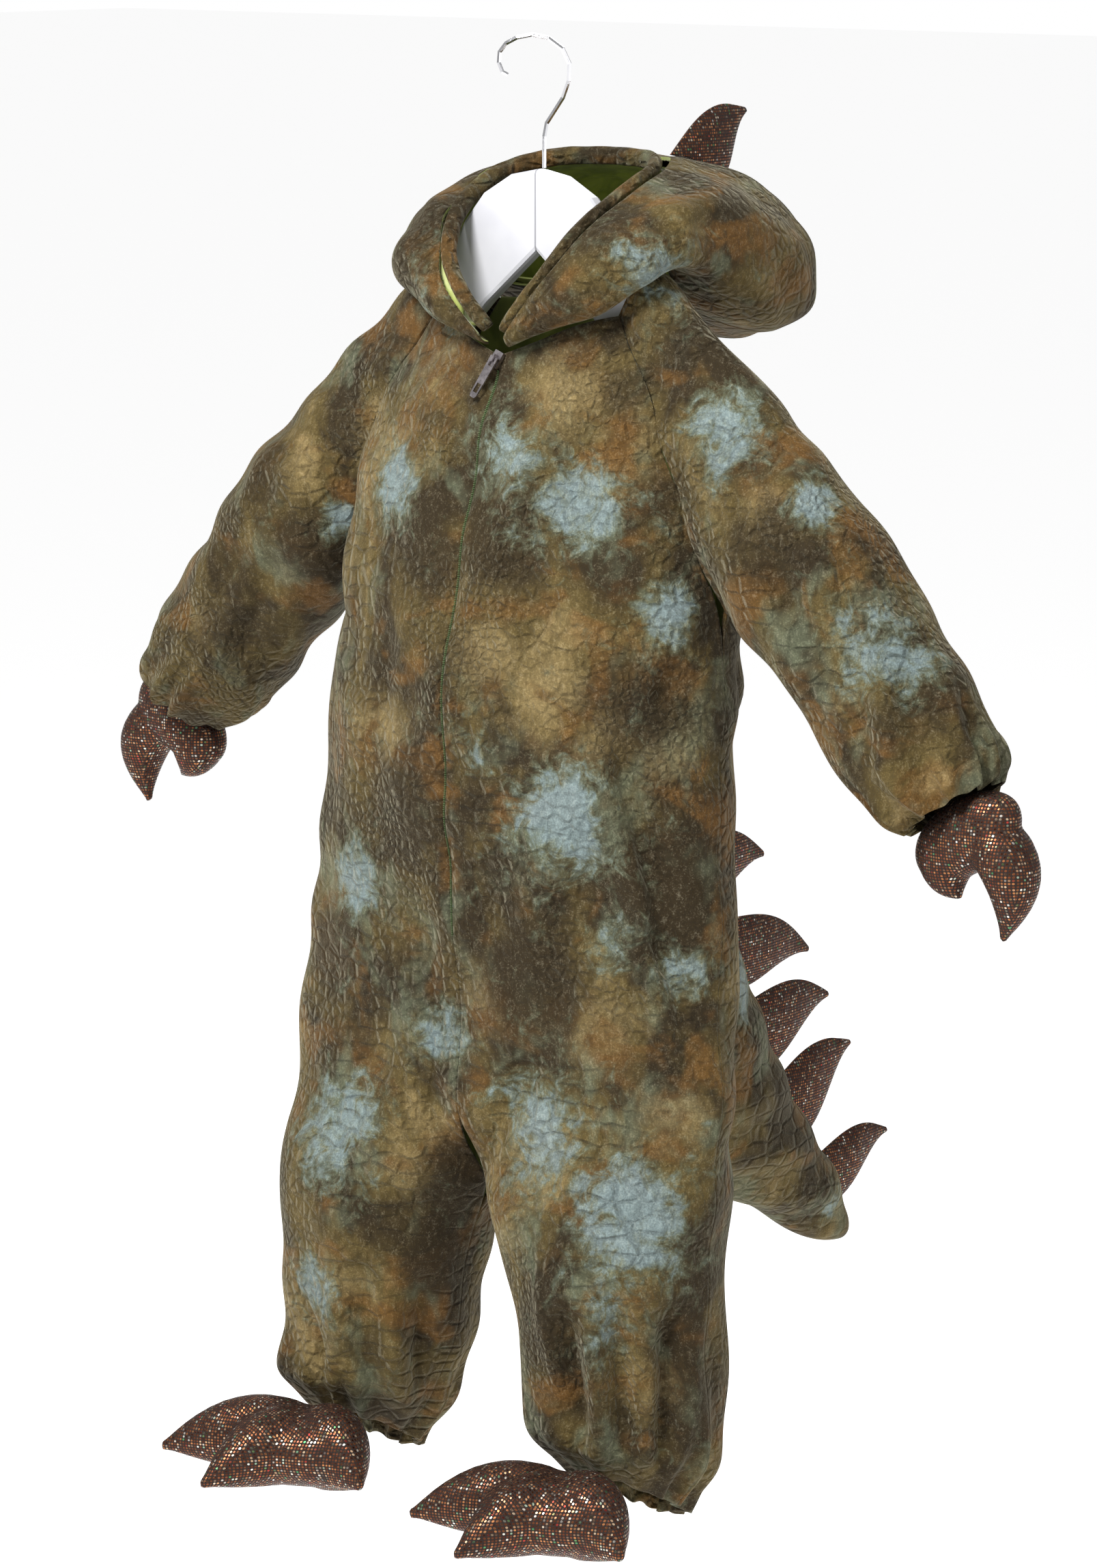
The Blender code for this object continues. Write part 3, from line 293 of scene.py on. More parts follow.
def foilCloth():
    look = foilLook
    g = Graph("foilDotCloth")
    flat = g.node("ShaderNodeUVMap", {"uv_map": "clothMap"})
    grid = g.node("ShaderNodeVectorMath", {"operation": "SCALE"}, {0: flat, "Scale": 1 / look["pitch"]})
    cell = g.node("ShaderNodeVectorMath", {"operation": "FLOOR"}, {0: grid})
    inside = g.node("ShaderNodeVectorMath", {"operation": "FRACTION"}, {0: grid})
    away = g.node("ShaderNodeVectorMath", {"operation": "DISTANCE"}, {0: inside, 1: (0.5, 0.5, 0.0)}, "Value")
    dot = g.step(away, look["dotSize"], look["dotSize"] - 0.10)
    luck = g.node("ShaderNodeTexWhiteNoise", {"noise_dimensions": "2D"}, {"Vector": cell})
    other = g.node("ShaderNodeVectorMath", {"operation": "ADD"}, {0: cell, 1: (7.0, 3.0, 5.0)})
    shade = g.node("ShaderNodeTexWhiteNoise", {"noise_dimensions": "3D"}, {"Vector": other})
    place = g.place()
    broad = g.noise(place, 30.0, 2.0, 0.6, 1.2)
    foil = g.node("ShaderNodeValToRGB", {"stops": [
        (0.00, (0.10, 0.030, 0.015)), (0.40, (0.26, 0.085, 0.035)), (0.68, (0.50, 0.21, 0.08)),
        (0.82, (0.60, 0.45, 0.30)), (0.90, (0.85, 0.80, 0.74)), (0.95, (0.06, 0.26, 0.10)),
        (1.0, (0.50, 0.05, 0.04))]},
        {"Fac": luck})
    dull = g.mix(g.step(shade, 0.0, 1.0, 0.85, 0.0), foil, (0.060, 0.020, 0.012))
    ground = g.mix(broad, look["ground"], (0.026, 0.011, 0.006))
    shown = dot * g.step(broad, 0.22, 0.36)
    colour = g.mix(shown, ground, dull)
    rough = g.step(shade, 0.0, 1.0, 0.22, 0.46) * shown + 0.80 * (1 - shown)
    crease = g.noise(g.turned(place, (1, 1, 0.5)), 60.0, 3.0, 0.6, 0.6)
    weave = g.noise(place, 1500.0, 1.0)
    tilt = g.node("ShaderNodeVectorMath", {"operation": "DOT_PRODUCT"},
                  {0: inside, 1: (0.7, 0.5, 0.0)}, "Value")
    normal = g.bump(crease, 0.0025, 0.6)
    normal = g.bump(tilt * (shade - 0.5) + weave * 0.1 + dot * 0.12, 0.0007, 0.75, normal)
    return g.finish({"Base Color": colour, "Roughness": rough, "Metallic": shown * 0.9, "Normal": normal},
                    **{"Specular IOR Level": 0.4})


def satinLining():
    g = Graph("satinLining")
    place = g.place()
    pull = g.noise(g.turned(place, (1.0, 1.0, 0.22)), 70.0, 2.0, 0.5, 0.5)
    wide = g.noise(place, 18.0, 2.0)
    # painted shade and sheen: the satin is darker in the troughs and lighter on the ridges of the wrinkles that
    # its bump draws
    colour = g.mix(g.step(pull, 0.35, 0.65), (0.21, 0.25, 0.055), (0.42, 0.47, 0.12))
    colour = g.mix(g.step(wide, 0.4, 0.7) * 0.4, colour, (0.50, 0.55, 0.17))
    thread = g.node("ShaderNodeTexWave", {"wave_type": "BANDS"},
                    {"Vector": place, "Scale": 900.0, "Distortion": 1.0}, 1)
    normal = g.bump(pull, 0.0028, 0.8)
    normal = g.bump(thread, 0.0002, 0.3, normal)
    return g.finish({"Base Color": colour, "Roughness": g.step(wide, 0.3, 0.7, 0.30, 0.42), "Normal": normal},
                    **{"Sheen Weight": 0.3, "Anisotropic": 0.4})


def glossPaint():
    g = Graph("whiteGlossPaint")
    place = g.place()
    split = g.tree.nodes.new("ShaderNodeSeparateXYZ")
    g.tree.links.new(place.socket, split.inputs[0])
    across = g.node("ShaderNodeMath", {"operation": "ABSOLUTE"}, {0: Sock(g, split.outputs[0])})
    joint = g.step(across, 0.0003, 0.0010)   # joint line down the middle of the wood
    flow = g.noise(place, 60.0, 2.0)
    colour = g.mix(joint, (0.30, 0.30, 0.32), g.mix(flow, (0.60, 0.60, 0.64), (0.68, 0.68, 0.71)))
    normal = g.bump(joint + flow * 0.25, 0.0004, 0.5)
    return g.finish({"Base Color": colour, "Roughness": g.step(flow, 0.3, 0.7, 0.16, 0.26), "Normal": normal},
                    **{"Coat Weight": 0.4, "Coat Roughness": 0.08})


def shinyMetal(name, bright, shade, low, high):
    g = Graph(name)
    place = g.place()
    wear = g.noise(place, 240.0, 3.0, 0.6)
    brush = g.noise(g.turned(place, (6.0, 6.0, 1.0)), 300.0, 2.0)
    normal = g.bump(brush, 0.00008, 0.4)
    return g.finish({"Base Color": g.mix(wear, shade, bright), "Roughness": g.step(wear, 0.3, 0.7, low, high),
                     "Normal": normal}, **{"Metallic": 1.0})


def threadCloth(name, low, high):
    g = Graph(name)
    place = g.place()
    twist = g.noise(g.turned(place, (1, 1, 3)), 700.0, 2.0)
    return g.finish({"Base Color": g.mix(twist, low, high), "Roughness": g.step(twist, 0.3, 0.7, 0.6, 0.85),
                     "Normal": g.bump(twist, 0.0002, 0.6)})


plush = plushCloth()
foil = foilCloth()
satin = satinLining()
gloss = glossPaint()
chrome = shinyMetal("chromePlate", (0.86, 0.86, 0.88), (0.70, 0.70, 0.73), 0.05, 0.14)
zipMetal = shinyMetal("zipMetal", (0.50, 0.46, 0.47), (0.30, 0.27, 0.28), 0.22, 0.38)
thread = threadCloth("sewingThread", (0.045, 0.036, 0.016), (0.11, 0.09, 0.045))
coilCloth = threadCloth("zipCoil", (0.045, 0.075, 0.025), (0.11, 0.17, 0.06))
print("finishes")

# colour patches, set on the solids: x, y, z, reach, strength

patchTable = {
    "blue": (
        (-0.069, -0.056, -0.287, 0.020, 1.0), (-0.155, -0.015, -0.321, 0.014, 0.8),
        (0.086, -0.051, -0.292, 0.026, 0.9), (0.140, -0.031, -0.360, 0.016, 0.9),
        (0.087, -0.078, -0.491, 0.030, 1.0), (-0.096, -0.068, -0.554, 0.022, 0.9),
        (-0.101, -0.087, -0.724, 0.032, 0.8), (0.071, -0.076, -0.690, 0.028, 0.8),
        (0.115, -0.062, -0.572, 0.018, 0.8), (0.151, -0.081, -0.746, 0.034, 1.0),
        (0.141, -0.092, -0.810, 0.018, 0.6), (0.298, -0.014, -0.368, 0.026, 0.8),
        (0.109, -0.005, -0.148, 0.022, 0.7), (-0.052, -0.030, -0.174, 0.016, 0.8),
        (-0.113, -0.099, -0.832, 0.020, 0.7), (-0.006, -0.077, -0.652, 0.022, 0.7),
        (0.159, -0.040, -0.587, 0.016, 0.7), (0.168, -0.010, -0.237, 0.022, 0.8),
        (0.235, -0.005, -0.282, 0.014, 0.8), (0.023, -0.058, -0.264, 0.026, 0.8),
        (0.025, -0.092, -0.453, 0.014, 0.5), (0.080, 0.100, -0.330, 0.030, 0.9),
        (-0.090, 0.095, -0.450, 0.030, 0.9), (0.100, 0.080, -0.620, 0.030, 0.8),
        (-0.110, 0.045, -0.780, 0.030, 0.9), (0.120, 0.040, -0.870, 0.024, 0.7),
        (-0.240, 0.060, -0.330, 0.026, 0.8), (0.050, 0.200, -0.120, 0.026, 0.8),
        (-0.060, 0.190, -0.190, 0.024, 0.7), (0.055, 0.160, -0.640, 0.026, 0.8),
        (-0.040, 0.240, -0.790, 0.022, 0.7), (0.030, 0.300, -0.840, 0.016, 0.6)),
    "dark": (
        (0.033, -0.070, -0.317, 0.032, 1.0), (-0.027, -0.074, -0.330, 0.026, 0.9),
        (-0.130, -0.059, -0.612, 0.028, 1.0), (-0.047, -0.088, -0.498, 0.030, 0.9),
        (0.137, -0.042, -0.419, 0.026, 0.7), (-0.005, -0.058, -0.740, 0.028, 0.9),
        (0.140, -0.054, -0.536, 0.034, 1.0), (0.205, -0.030, -0.250, 0.022, 0.6),
        (0.220, -0.033, -0.305, 0.028, 0.8), (0.135, 0.011, -0.181, 0.022, 0.7),
        (0.060, -0.015, -0.115, 0.022, 0.7), (-0.062, -0.009, -0.120, 0.022, 0.7),
        (-0.218, -0.029, -0.295, 0.030, 0.7), (-0.173, -0.024, -0.345, 0.026, 0.9),
        (-0.250, -0.028, -0.406, 0.024, 0.7), (0.326, -0.011, -0.400, 0.026, 0.7),
        (0.066, -0.070, -0.601, 0.034, 1.0), (-0.032, -0.060, -0.804, 0.026, 0.8),
        (0.175, -0.043, -0.791, 0.026, 0.7), (0.176, -0.036, -0.872, 0.020, 0.7),
        (0.075, -0.073, -0.635, 0.022, 0.6), (0.098, -0.100, -0.825, 0.026, 0.8),
        (0.099, -0.055, -0.328, 0.022, 0.7), (0.129, -0.021, -0.279, 0.022, 0.7),
        (-0.005, -0.088, -0.395, 0.020, 0.6), (0.043, -0.082, -0.534, 0.022, 0.6)),
    "tan": (
        (-0.052, -0.033, -0.215, 0.030, 0.8), (0.057, -0.035, -0.223, 0.026, 0.9),
        (0.104, -0.030, -0.250, 0.024, 0.7), (-0.062, -0.085, -0.456, 0.028, 0.9),
        (0.032, -0.085, -0.387, 0.022, 0.8), (0.079, -0.077, -0.418, 0.028, 0.8),
        (0.108, -0.066, -0.437, 0.022, 0.6), (0.147, -0.034, -0.452, 0.020, 0.6),
        (0.025, -0.077, -0.626, 0.022, 0.8), (-0.081, -0.074, -0.675, 0.022, 0.6),
        (0.110, -0.068, -0.626, 0.026, 0.8), (0.050, -0.090, -0.762, 0.022, 0.6),
        (0.163, -0.052, -0.682, 0.024, 0.6), (0.160, -0.072, -0.851, 0.022, 0.6),
        (-0.275, -0.033, -0.402, 0.018, 0.6), (-0.115, -0.025, -0.256, 0.022, 0.7),
        (0.281, -0.032, -0.402, 0.018, 0.5), (0.120, 0.029, -0.123, 0.020, 0.5),
        (-0.037, -0.085, -0.735, 0.020, 0.6)),
}


def paintPatches(mesh):   # kept with the points, so that it moves with the cloth
    points = np.empty(len(mesh.vertices) * 3)
    mesh.vertices.foreach_get("co", points)
    points = points.reshape(-1, 3)
    colour = np.zeros((len(points), 4))
    colour[:, 3] = 1
    for channel, name in enumerate(("blue", "dark", "tan")):
        for x, y, z, reach, strength in patchTable[name]:
            away = np.linalg.norm(points - (x, y, z), axis=1) / (reach * 1.15)
            colour[:, channel] = np.maximum(colour[:, channel], strength * np.exp(-away**2 * 0.8))
    layer = mesh.color_attributes.new("patches", "FLOAT_COLOR", "POINT")
    layer.data.foreach_set("color", colour.ravel())


# folds, set on the solids: start, end, half width and height (below zero for a trough)
# backFolds repeats them, mirrored and shifted, on the hidden back

foldTable = {
    "body": (
        (0.126, -0.056, -0.446, 0.168, -0.040, -0.635, 0.011, -0.0060),
        (0.113, -0.064, -0.447, 0.155, -0.050, -0.638, 0.013, 0.0040),
        (0.103, -0.067, -0.529, 0.160, -0.040, -0.595, 0.012, -0.0030),
        (0.183, -0.029, -0.348, 0.142, -0.037, -0.417, 0.010, -0.0035),
        (0.151, -0.004, -0.349, 0.131, -0.046, -0.402, 0.010, 0.0025),
        (-0.164, -0.003, -0.357, -0.068, -0.083, -0.433, 0.011, -0.0035),
        (0.020, -0.078, -0.732, 0.075, -0.073, -0.640, 0.011, -0.0045),
        (-0.004, -0.056, -0.741, -0.028, -0.079, -0.682, 0.011, -0.0045),
        (0.045, -0.085, -0.732, 0.122, -0.074, -0.703, 0.012, -0.0030),
        (-0.019, -0.048, -0.237, -0.007, -0.068, -0.300, 0.009, -0.0020),
        (0.073, -0.071, -0.359, 0.051, -0.088, -0.445, 0.012, -0.0025),
        (0.032, -0.053, -0.253, 0.034, -0.071, -0.322, 0.010, 0.0020),
        (-0.056, -0.076, -0.360, -0.072, -0.083, -0.486, 0.014, -0.0030),
        (-0.034, -0.079, -0.561, -0.025, -0.078, -0.665, 0.014, -0.0030),
        (0.055, -0.080, -0.539, 0.068, -0.073, -0.626, 0.014, 0.0030)),
    "ankle": (
        (0.112, -0.101, -0.816, 0.121, -0.098, -0.894, 0.007, -0.0050),
        (0.131, -0.099, -0.798, 0.137, -0.095, -0.897, 0.007, 0.0040),
        (0.145, -0.090, -0.797, 0.150, -0.087, -0.896, 0.007, -0.0050),
        (0.159, -0.075, -0.819, 0.163, -0.076, -0.902, 0.007, 0.0040),
        (0.168, -0.062, -0.809, 0.169, -0.067, -0.902, 0.007, -0.0045),
        (0.094, -0.104, -0.793, 0.106, -0.098, -0.865, 0.008, 0.0030),
        (0.174, -0.041, -0.818, 0.175, -0.055, -0.899, 0.008, 0.0030),
        (-0.123, -0.096, -0.845, -0.100, -0.091, -0.908, 0.007, -0.0045),
        (-0.090, -0.100, -0.828, -0.091, -0.081, -0.914, 0.007, 0.0035),
        (-0.069, -0.097, -0.814, -0.075, -0.079, -0.911, 0.007, -0.0045),
        (-0.053, -0.084, -0.830, -0.063, -0.065, -0.912, 0.007, 0.0035),
        (-0.039, -0.067, -0.825, -0.054, -0.055, -0.913, 0.007, -0.0040)),
    "sleeve": (
        (0.213, -0.036, -0.310, 0.263, -0.033, -0.380, 0.011, -0.0045),
        (0.264, -0.010, -0.318, 0.297, -0.033, -0.425, 0.009, -0.0040),
        (0.308, -0.012, -0.377, 0.337, -0.022, -0.439, 0.008, -0.0045),
        (0.321, 0.008, -0.379, 0.348, -0.004, -0.435, 0.008, 0.0035),
        (0.300, -0.025, -0.391, 0.316, -0.029, -0.441, 0.008, 0.0030),
        (0.205, 0.000, -0.255, 0.290, -0.005, -0.350, 0.015, 0.0030),
        (-0.209, -0.036, -0.304, -0.273, -0.031, -0.413, 0.012, -0.0035),
        (-0.190, -0.029, -0.323, -0.254, -0.017, -0.435, 0.011, -0.0045),
        (-0.215, -0.020, -0.284, -0.234, -0.036, -0.344, 0.011, 0.0030)),
    "hood": (
        (0.088, -0.020, -0.118, 0.118, 0.060, -0.098, 0.010, 0.0030),
        (0.075, -0.030, -0.150, 0.120, 0.030, -0.165, 0.010, -0.0035),
        (0.100, 0.060, -0.170, 0.060, 0.150, -0.195, 0.012, -0.0035),
        (0.095, 0.110, -0.110, 0.050, 0.190, -0.120, 0.013, -0.0030),
        (-0.088, -0.010, -0.120, -0.115, 0.060, -0.120, 0.012, -0.0035),
        (-0.070, -0.028, -0.140, -0.110, 0.020, -0.165, 0.010, 0.0030),
        (-0.090, 0.090, -0.160, -0.040, 0.180, -0.185, 0.013, -0.0035),
        (-0.085, 0.120, -0.105, -0.030, 0.180, -0.095, 0.012, 0.0025)),
}
foldStrength = {"depth": 2.1, "width": 1.15}
backFolds = {"turn": (0.96, -1.0, 1.0), "shift": (0.018, 0.010, 0.024), "share": 0.75}
zipLine = {"top": -0.207, "bottom": -0.578, "grooveWidth": 0.0042, "grooveDepth": 0.0024, "topFade": 0.01,
           "bottomFade": 0.02, "frontY": -0.01, "flyX": 0.0135, "flyTop": -0.214, "flyBottom": -0.592}


def segmentPull(points, row):
    start, end = np.array(row[:3]), np.array(row[3:6])
    width, depth = row[6] * foldStrength["width"], row[7]
    along = np.clip((points - start) @ (end - start) / np.dot(end - start, end - start), 0, 1)
    away = np.linalg.norm(points - (start + along[:, None] * (end - start)), axis=1)
    return depth * np.exp(-(away / width) ** 2) * (0.35 + 0.65 * np.sin(np.pi * (0.08 + 0.84 * along)))


def foldPull(points, names):
    total = np.zeros(len(points))
    behind = points * backFolds["turn"] + backFolds["shift"]
    for name in names:
        for row in foldTable[name]:
            total += segmentPull(points, row)
            if name != "hood":
                total += backFolds["share"] * segmentPull(behind, row)
    return total


gathers = {"ankleTop": -0.845, "ankleHem": -0.944, "ankleIn": 0.006, "ankleWave": 0.0068, "anklePleats": 13,
           "cuffRun": 0.075, "cuffIn": 0.003, "cuffWave": 0.0052, "cuffPleats": 12}
arm = {"start": (0.110, 0.018, -0.225), "cuff": (0.329, 0.019, -0.469),   # the left one
       "run": (0.219, 0.0, -0.244), "length": 0.3279, "across": (0.744, 0.668)}
leg = {"x": 0.114, "y": -0.038, "fork": -0.66, "forkRun": 0.13, "topX": 0.096, "knee": -0.79, "kneeRun": 0.15,
       "flare": 0.020, "bodyY": 0.012, "setBack": 0.02}
hoodMiddle = (0.0, 0.050, -0.140)
rippleTable = {"body": (0.0034, 1.0), "sleeve": (0.0026, 1.3), "hood": (0.0036, 1.4)}   # height, closeness


def gatherPull(points, kind):
    # uneven pleats that deepen towards the elastic at each ankle and cuff, with the cloth drawn in above it
    if kind == "hood":
        return np.zeros(len(points))
    side = np.sign(points[:, 0])
    if kind == "body":
        turn = np.arctan2(points[:, 1] - leg["y"], side * points[:, 0] - leg["x"])
        top, hem = gathers["ankleTop"], gathers["ankleHem"]
        near = np.clip((top - points[:, 2]) / (top - hem), 0, 1)
        inward, wave, pleats = gathers["ankleIn"], gathers["ankleWave"], gathers["anklePleats"]
    else:
        line = np.array(arm["run"]) / arm["length"]
        cuffX, cuffY, cuffZ = arm["cuff"]
        outX, outZ = side * points[:, 0] - cuffX, points[:, 2] - cuffZ
        along = np.stack([outX, points[:, 1], outZ], axis=1) @ line
        near = np.clip(1 + along / gathers["cuffRun"], 0, 1)
        turn = np.arctan2(points[:, 1] - cuffY, outX * arm["across"][0] + outZ * arm["across"][1])
        inward, wave, pleats = gathers["cuffIn"], gathers["cuffWave"], gathers["cuffPleats"]
    pleat = np.sin(turn * pleats + 1.3 * np.sin(turn * 3 + side))
    uneven = pleat * (0.65 + 0.35 * np.sin(turn * 5 + 2 * side))
    return near ** 1.3 * wave * uneven - near ** 2 * inward


def ripplePull(points, kind):   # the soft uneven waves of thick cloth that hangs empty
    height, close = rippleTable[kind]
    bend = 1.4 * np.sin(points @ (22.0, 46.0, -26.0))
    first = np.sin(close * points @ (62.0, 24.0, 30.0) + bend)
    return height * first * np.sin(close * points @ (-14.0, 33.0, 44.0) + 0.6)


def outwardFrom(points, kind):
    # the way out of the cloth at each point, square to the limb that it covers
    if kind == "sleeve":
        side = np.sign(points[:, :1])
        start, end = np.array(arm["start"]), np.array(arm["cuff"])
        line = (end - start) / np.linalg.norm(end - start)
        local = points * np.hstack([side, np.ones((len(points), 2))])
        along = (local - start) @ line
        out = local - (start + along[:, None] * line)
        out[:, :1] *= side
    elif kind == "hood":
        out = points - np.array(hoodMiddle)
        out[:, 2] *= 0.8
    else:
        z = points[:, 2]
        spread = np.clip((leg["fork"] - z) / leg["forkRun"], 0, 1)
        flare = np.clip((leg["knee"] - z) / leg["kneeRun"], 0, 1) * leg["flare"]
        centre = np.sign(points[:, 0]) * spread * (leg["topX"] + flare)
        outX, outY = points[:, 0] - centre, points[:, 1] + leg["bodyY"] + spread * leg["setBack"]
        out = np.stack([outX, outY, np.zeros(len(points))], axis=1)
    return out / np.maximum(np.linalg.norm(out, axis=1), 1e-6)[:, None]


def softCopy(name, levels):
    # the node's own form, welded, in four-sided faces, with its cut edges kept crisp, then rounded
    shape = bmesh.new()
    shape.from_mesh(nodes[name].data)
    bmesh.ops.remove_doubles(shape, verts=shape.verts, dist=2e-5)
    bmesh.ops.join_triangles(shape, faces=shape.faces, angle_face_threshold=math.radians(35),
                             angle_shape_threshold=math.radians(60))
    bmesh.ops.recalc_face_normals(shape, faces=shape.faces)
    crease = shape.edges.layers.float.new("crease_edge")
    for edge in shape.edges:
        if len(edge.link_faces) == 2 and edge.calc_face_angle(0) > math.radians(55):
            edge[crease] = 1.0
    mesh = bpy.data.meshes.new(name + "_cloth")
    shape.to_mesh(mesh)
    shape.free()
    thing = bpy.data.objects.new(name + "_cloth", mesh)
    bpy.context.scene.collection.objects.link(thing)
    fine = thing.modifiers.new("round", "SUBSURF")
    fine.levels = fine.render_levels = levels
    made = bpy.data.meshes.new_from_object(thing.evaluated_get(bpy.context.evaluated_depsgraph_get()))
    thing.modifiers.clear()
    thing.data = made
    bpy.data.meshes.remove(mesh)
    return thing


def pointsOf(mesh):
    points = np.empty(len(mesh.vertices) * 3)
    mesh.vertices.foreach_get("co", points)
    return points.reshape(-1, 3)


def setPoints(mesh, points):
    mesh.vertices.foreach_set("co", points.ravel())
    mesh.update()


def lineInside(thing, kind):
    # the back of the cloth shows the satin wherever it can be seen, as in the neck
    thing.data.materials.append(satin)
    middles = np.array([face.center for face in thing.data.polygons])
    normals = np.array([face.normal for face in thing.data.polygons])
    inner = np.sum(normals * outwardFrom(middles, kind), axis=1) < clothMake["innerFacing"]
    inner &= (middles[:, 2] > clothMake["hem"]) & (kind != "sleeve")   # not at the turned hems
    thing.data.polygons.foreach_set("material_index", inner.astype(np.int32))


def dress(thing, node, finish, body="costume"):
    thing.data.materials.clear()
    thing.data.materials.append(finish)
    thing.data.shade_smooth()
    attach(thing, body)
    if node:
        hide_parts(node)
    return thing


garment = {   # what the piece covers, and its cut, width and length
    "front_left": ("body", (0.27, 0.79)), "front_right": ("body", (0.27, 0.79)),
    "back_left": ("body", (0.28, 0.80)), "back_right": ("body", (0.28, 0.80)),
    "sleeve_left": ("sleeve", (0.36, 0.38)), "sleeve_right": ("sleeve", (0.36, 0.38)),
    "hood_left": ("hood", (0.21, 0.24)), "hood_right": ("hood", (0.21, 0.24)),
    "hood_centre": ("hood", (0.22, 0.38)),
}
clothMake = {"levels": 3, "hoodOut": 0.0008, "hoodIn": 0.0020, "halfGap": 0.00016, "ease": 1.04,
             "hem": -0.90, "innerFacing": -0.25}
foldNames = {"body": ("body", "ankle"), "sleeve": ("sleeve",), "hood": ("hood",)}


def makeGarment():
    for name, (kind, cut) in garment.items():
        piece = softCopy(name, clothMake["levels"])
        points = pointsOf(piece.data)
        pull = foldPull(points, foldNames[kind]) * foldStrength["depth"]
        pull += gatherPull(points, kind) + ripplePull(points, kind)
        if kind == "hood":
            pull = np.maximum(pull + clothMake["hoodOut"], -clothMake["hoodIn"])   # the lining is inside
        if kind == "body":
            inZip = np.clip((points[:, 2] - zipLine["bottom"]) / zipLine["bottomFade"], 0, 1)
            inZip *= np.clip((zipLine["top"] - points[:, 2]) / zipLine["topFade"], 0, 1)
            groove = np.exp(-(points[:, 0] / zipLine["grooveWidth"]) ** 2) * (points[:, 1] < zipLine["frontY"])
            pull -= zipLine["grooveDepth"] * groove * inZip
        points += outwardFrom(points, kind) * pull[:, None]
        if kind == "body":
            side = 1 if name.endswith("left") else -1
            points[:, 0] = side * np.maximum(side * points[:, 0], clothMake["halfGap"])
        setPoints(piece.data, points)
        paintPatches(piece.data)
        dress(piece, name, plush)
        lineInside(piece, kind)


makeGarment()


hoodTrim = {"casingCut": (0.018, 0.42), "casingOut": 0.0012, "liningCut": (0.62, 0.24), "liningIn": 0.0035,
            "liningEase": 1.1}


def makeCasingAndLining():
    casing = softCopy("hood_casing", 2)
    plump = np.array([v.normal for v in casing.data.vertices]) * hoodTrim["casingOut"]   # meets the hood's edge
    setPoints(casing.data, pointsOf(casing.data) + plump)
    paintPatches(casing.data)
    dress(casing, "hood_casing", plush)
    lining = softCopy("hood_lining", 2)
    spots = pointsOf(lining.data)
    clear = outwardFrom(spots, "hood") * hoodTrim["liningIn"]   # off the hood's folds
    setPoints(lining.data, spots - clear)
    dress(lining, "hood_lining", satin)


makeCasingAndLining()

# stuffed pieces

stuffing = {"tail": 0.75, "plates": 0.6, "mitts": 0.7, "feet": 0.7, "voxel": 0.0019, "waveHeight": 0.0022,
            "rootY": 0.11, "rootFade": 0.03}
tailLine = {"startY": 0.085, "startZ": -0.60, "slope": 1.03}


def boxMap(mesh):
    # a flat map in metres, laid on from the side that each face looks to
    layer = mesh.uv_layers.new(name="clothMap")
    points = pointsOf(mesh)
    for face in mesh.polygons:
        normal = face.normal
        axis = max(range(3), key=lambda k: abs(normal[k]))
        u, v = [k for k in range(3) if k != axis]
        for loop in face.loop_indices:
            point = points[mesh.loops[loop].vertex_index]
            layer.data[loop].uv = (point[u], point[v])


def roundedCopy(name):
    # welded, remeshed and smoothed, so that joined lobes meet in soft valleys
    piece = softCopy(name, 1)
    grid = piece.modifiers.new("grid", "REMESH")
    grid.mode, grid.voxel_size = "VOXEL", stuffing["voxel"]
    calm = piece.modifiers.new("calm", "SMOOTH")
    calm.factor, calm.iterations = 0.5, 5
    made = bpy.data.meshes.new_from_object(piece.evaluated_get(bpy.context.evaluated_depsgraph_get()))
    piece.modifiers.clear()
    piece.data = made
    return piece


def makeStuffed():
    tail = softCopy("tail", 3)
    points = pointsOf(tail.data)
    wave = stuffing["waveHeight"] * np.sin(points[:, 2] * 130 + points[:, 0] * 60)
    wave *= np.clip((points[:, 1] - stuffing["rootY"]) / stuffing["rootFade"], 0, 1)   # none at the root
    middleZ = tailLine["startZ"] - (points[:, 1] - tailLine["startY"]) * tailLine["slope"]
    out = points - np.stack([np.zeros(len(points)), points[:, 1], middleZ], axis=1)
    out /= np.maximum(np.linalg.norm(out, axis=1), 1e-5)[:, None]
    points += out * wave[:, None]
    setPoints(tail.data, points)
    paintPatches(tail.data)
    dress(tail, "tail", plush)
    for name in [n for n in nodes if n.startswith("plate_")]:
        plate = softCopy(name, 3)
        boxMap(plate.data)
        dress(plate, name, foil)
    for name in ("mitt_left", "mitt_right", "foot_left", "foot_right"):
        cover = roundedCopy(name)
        boxMap(cover.data)
        dress(cover, name, foil)
        print("stuffed", name, len(cover.data.polygons))


makeStuffed()

# rows of stitches and the zip's coil

rowLook = {
    "flyStitch": {"Spacing": 0.0034, "Piece Length": 0.0024, "Piece Width": 0.0006, "Piece Height": 0.0005},
    "casingStitch": {"Spacing": 0.0040, "Piece Length": 0.0028, "Piece Width": 0.0007,
                     "Piece Height": 0.0006},
    "zipCoil": {"Spacing": 0.0012, "Piece Length": 0.0009, "Piece Width": 0.0034, "Piece Height": 0.0010},
}


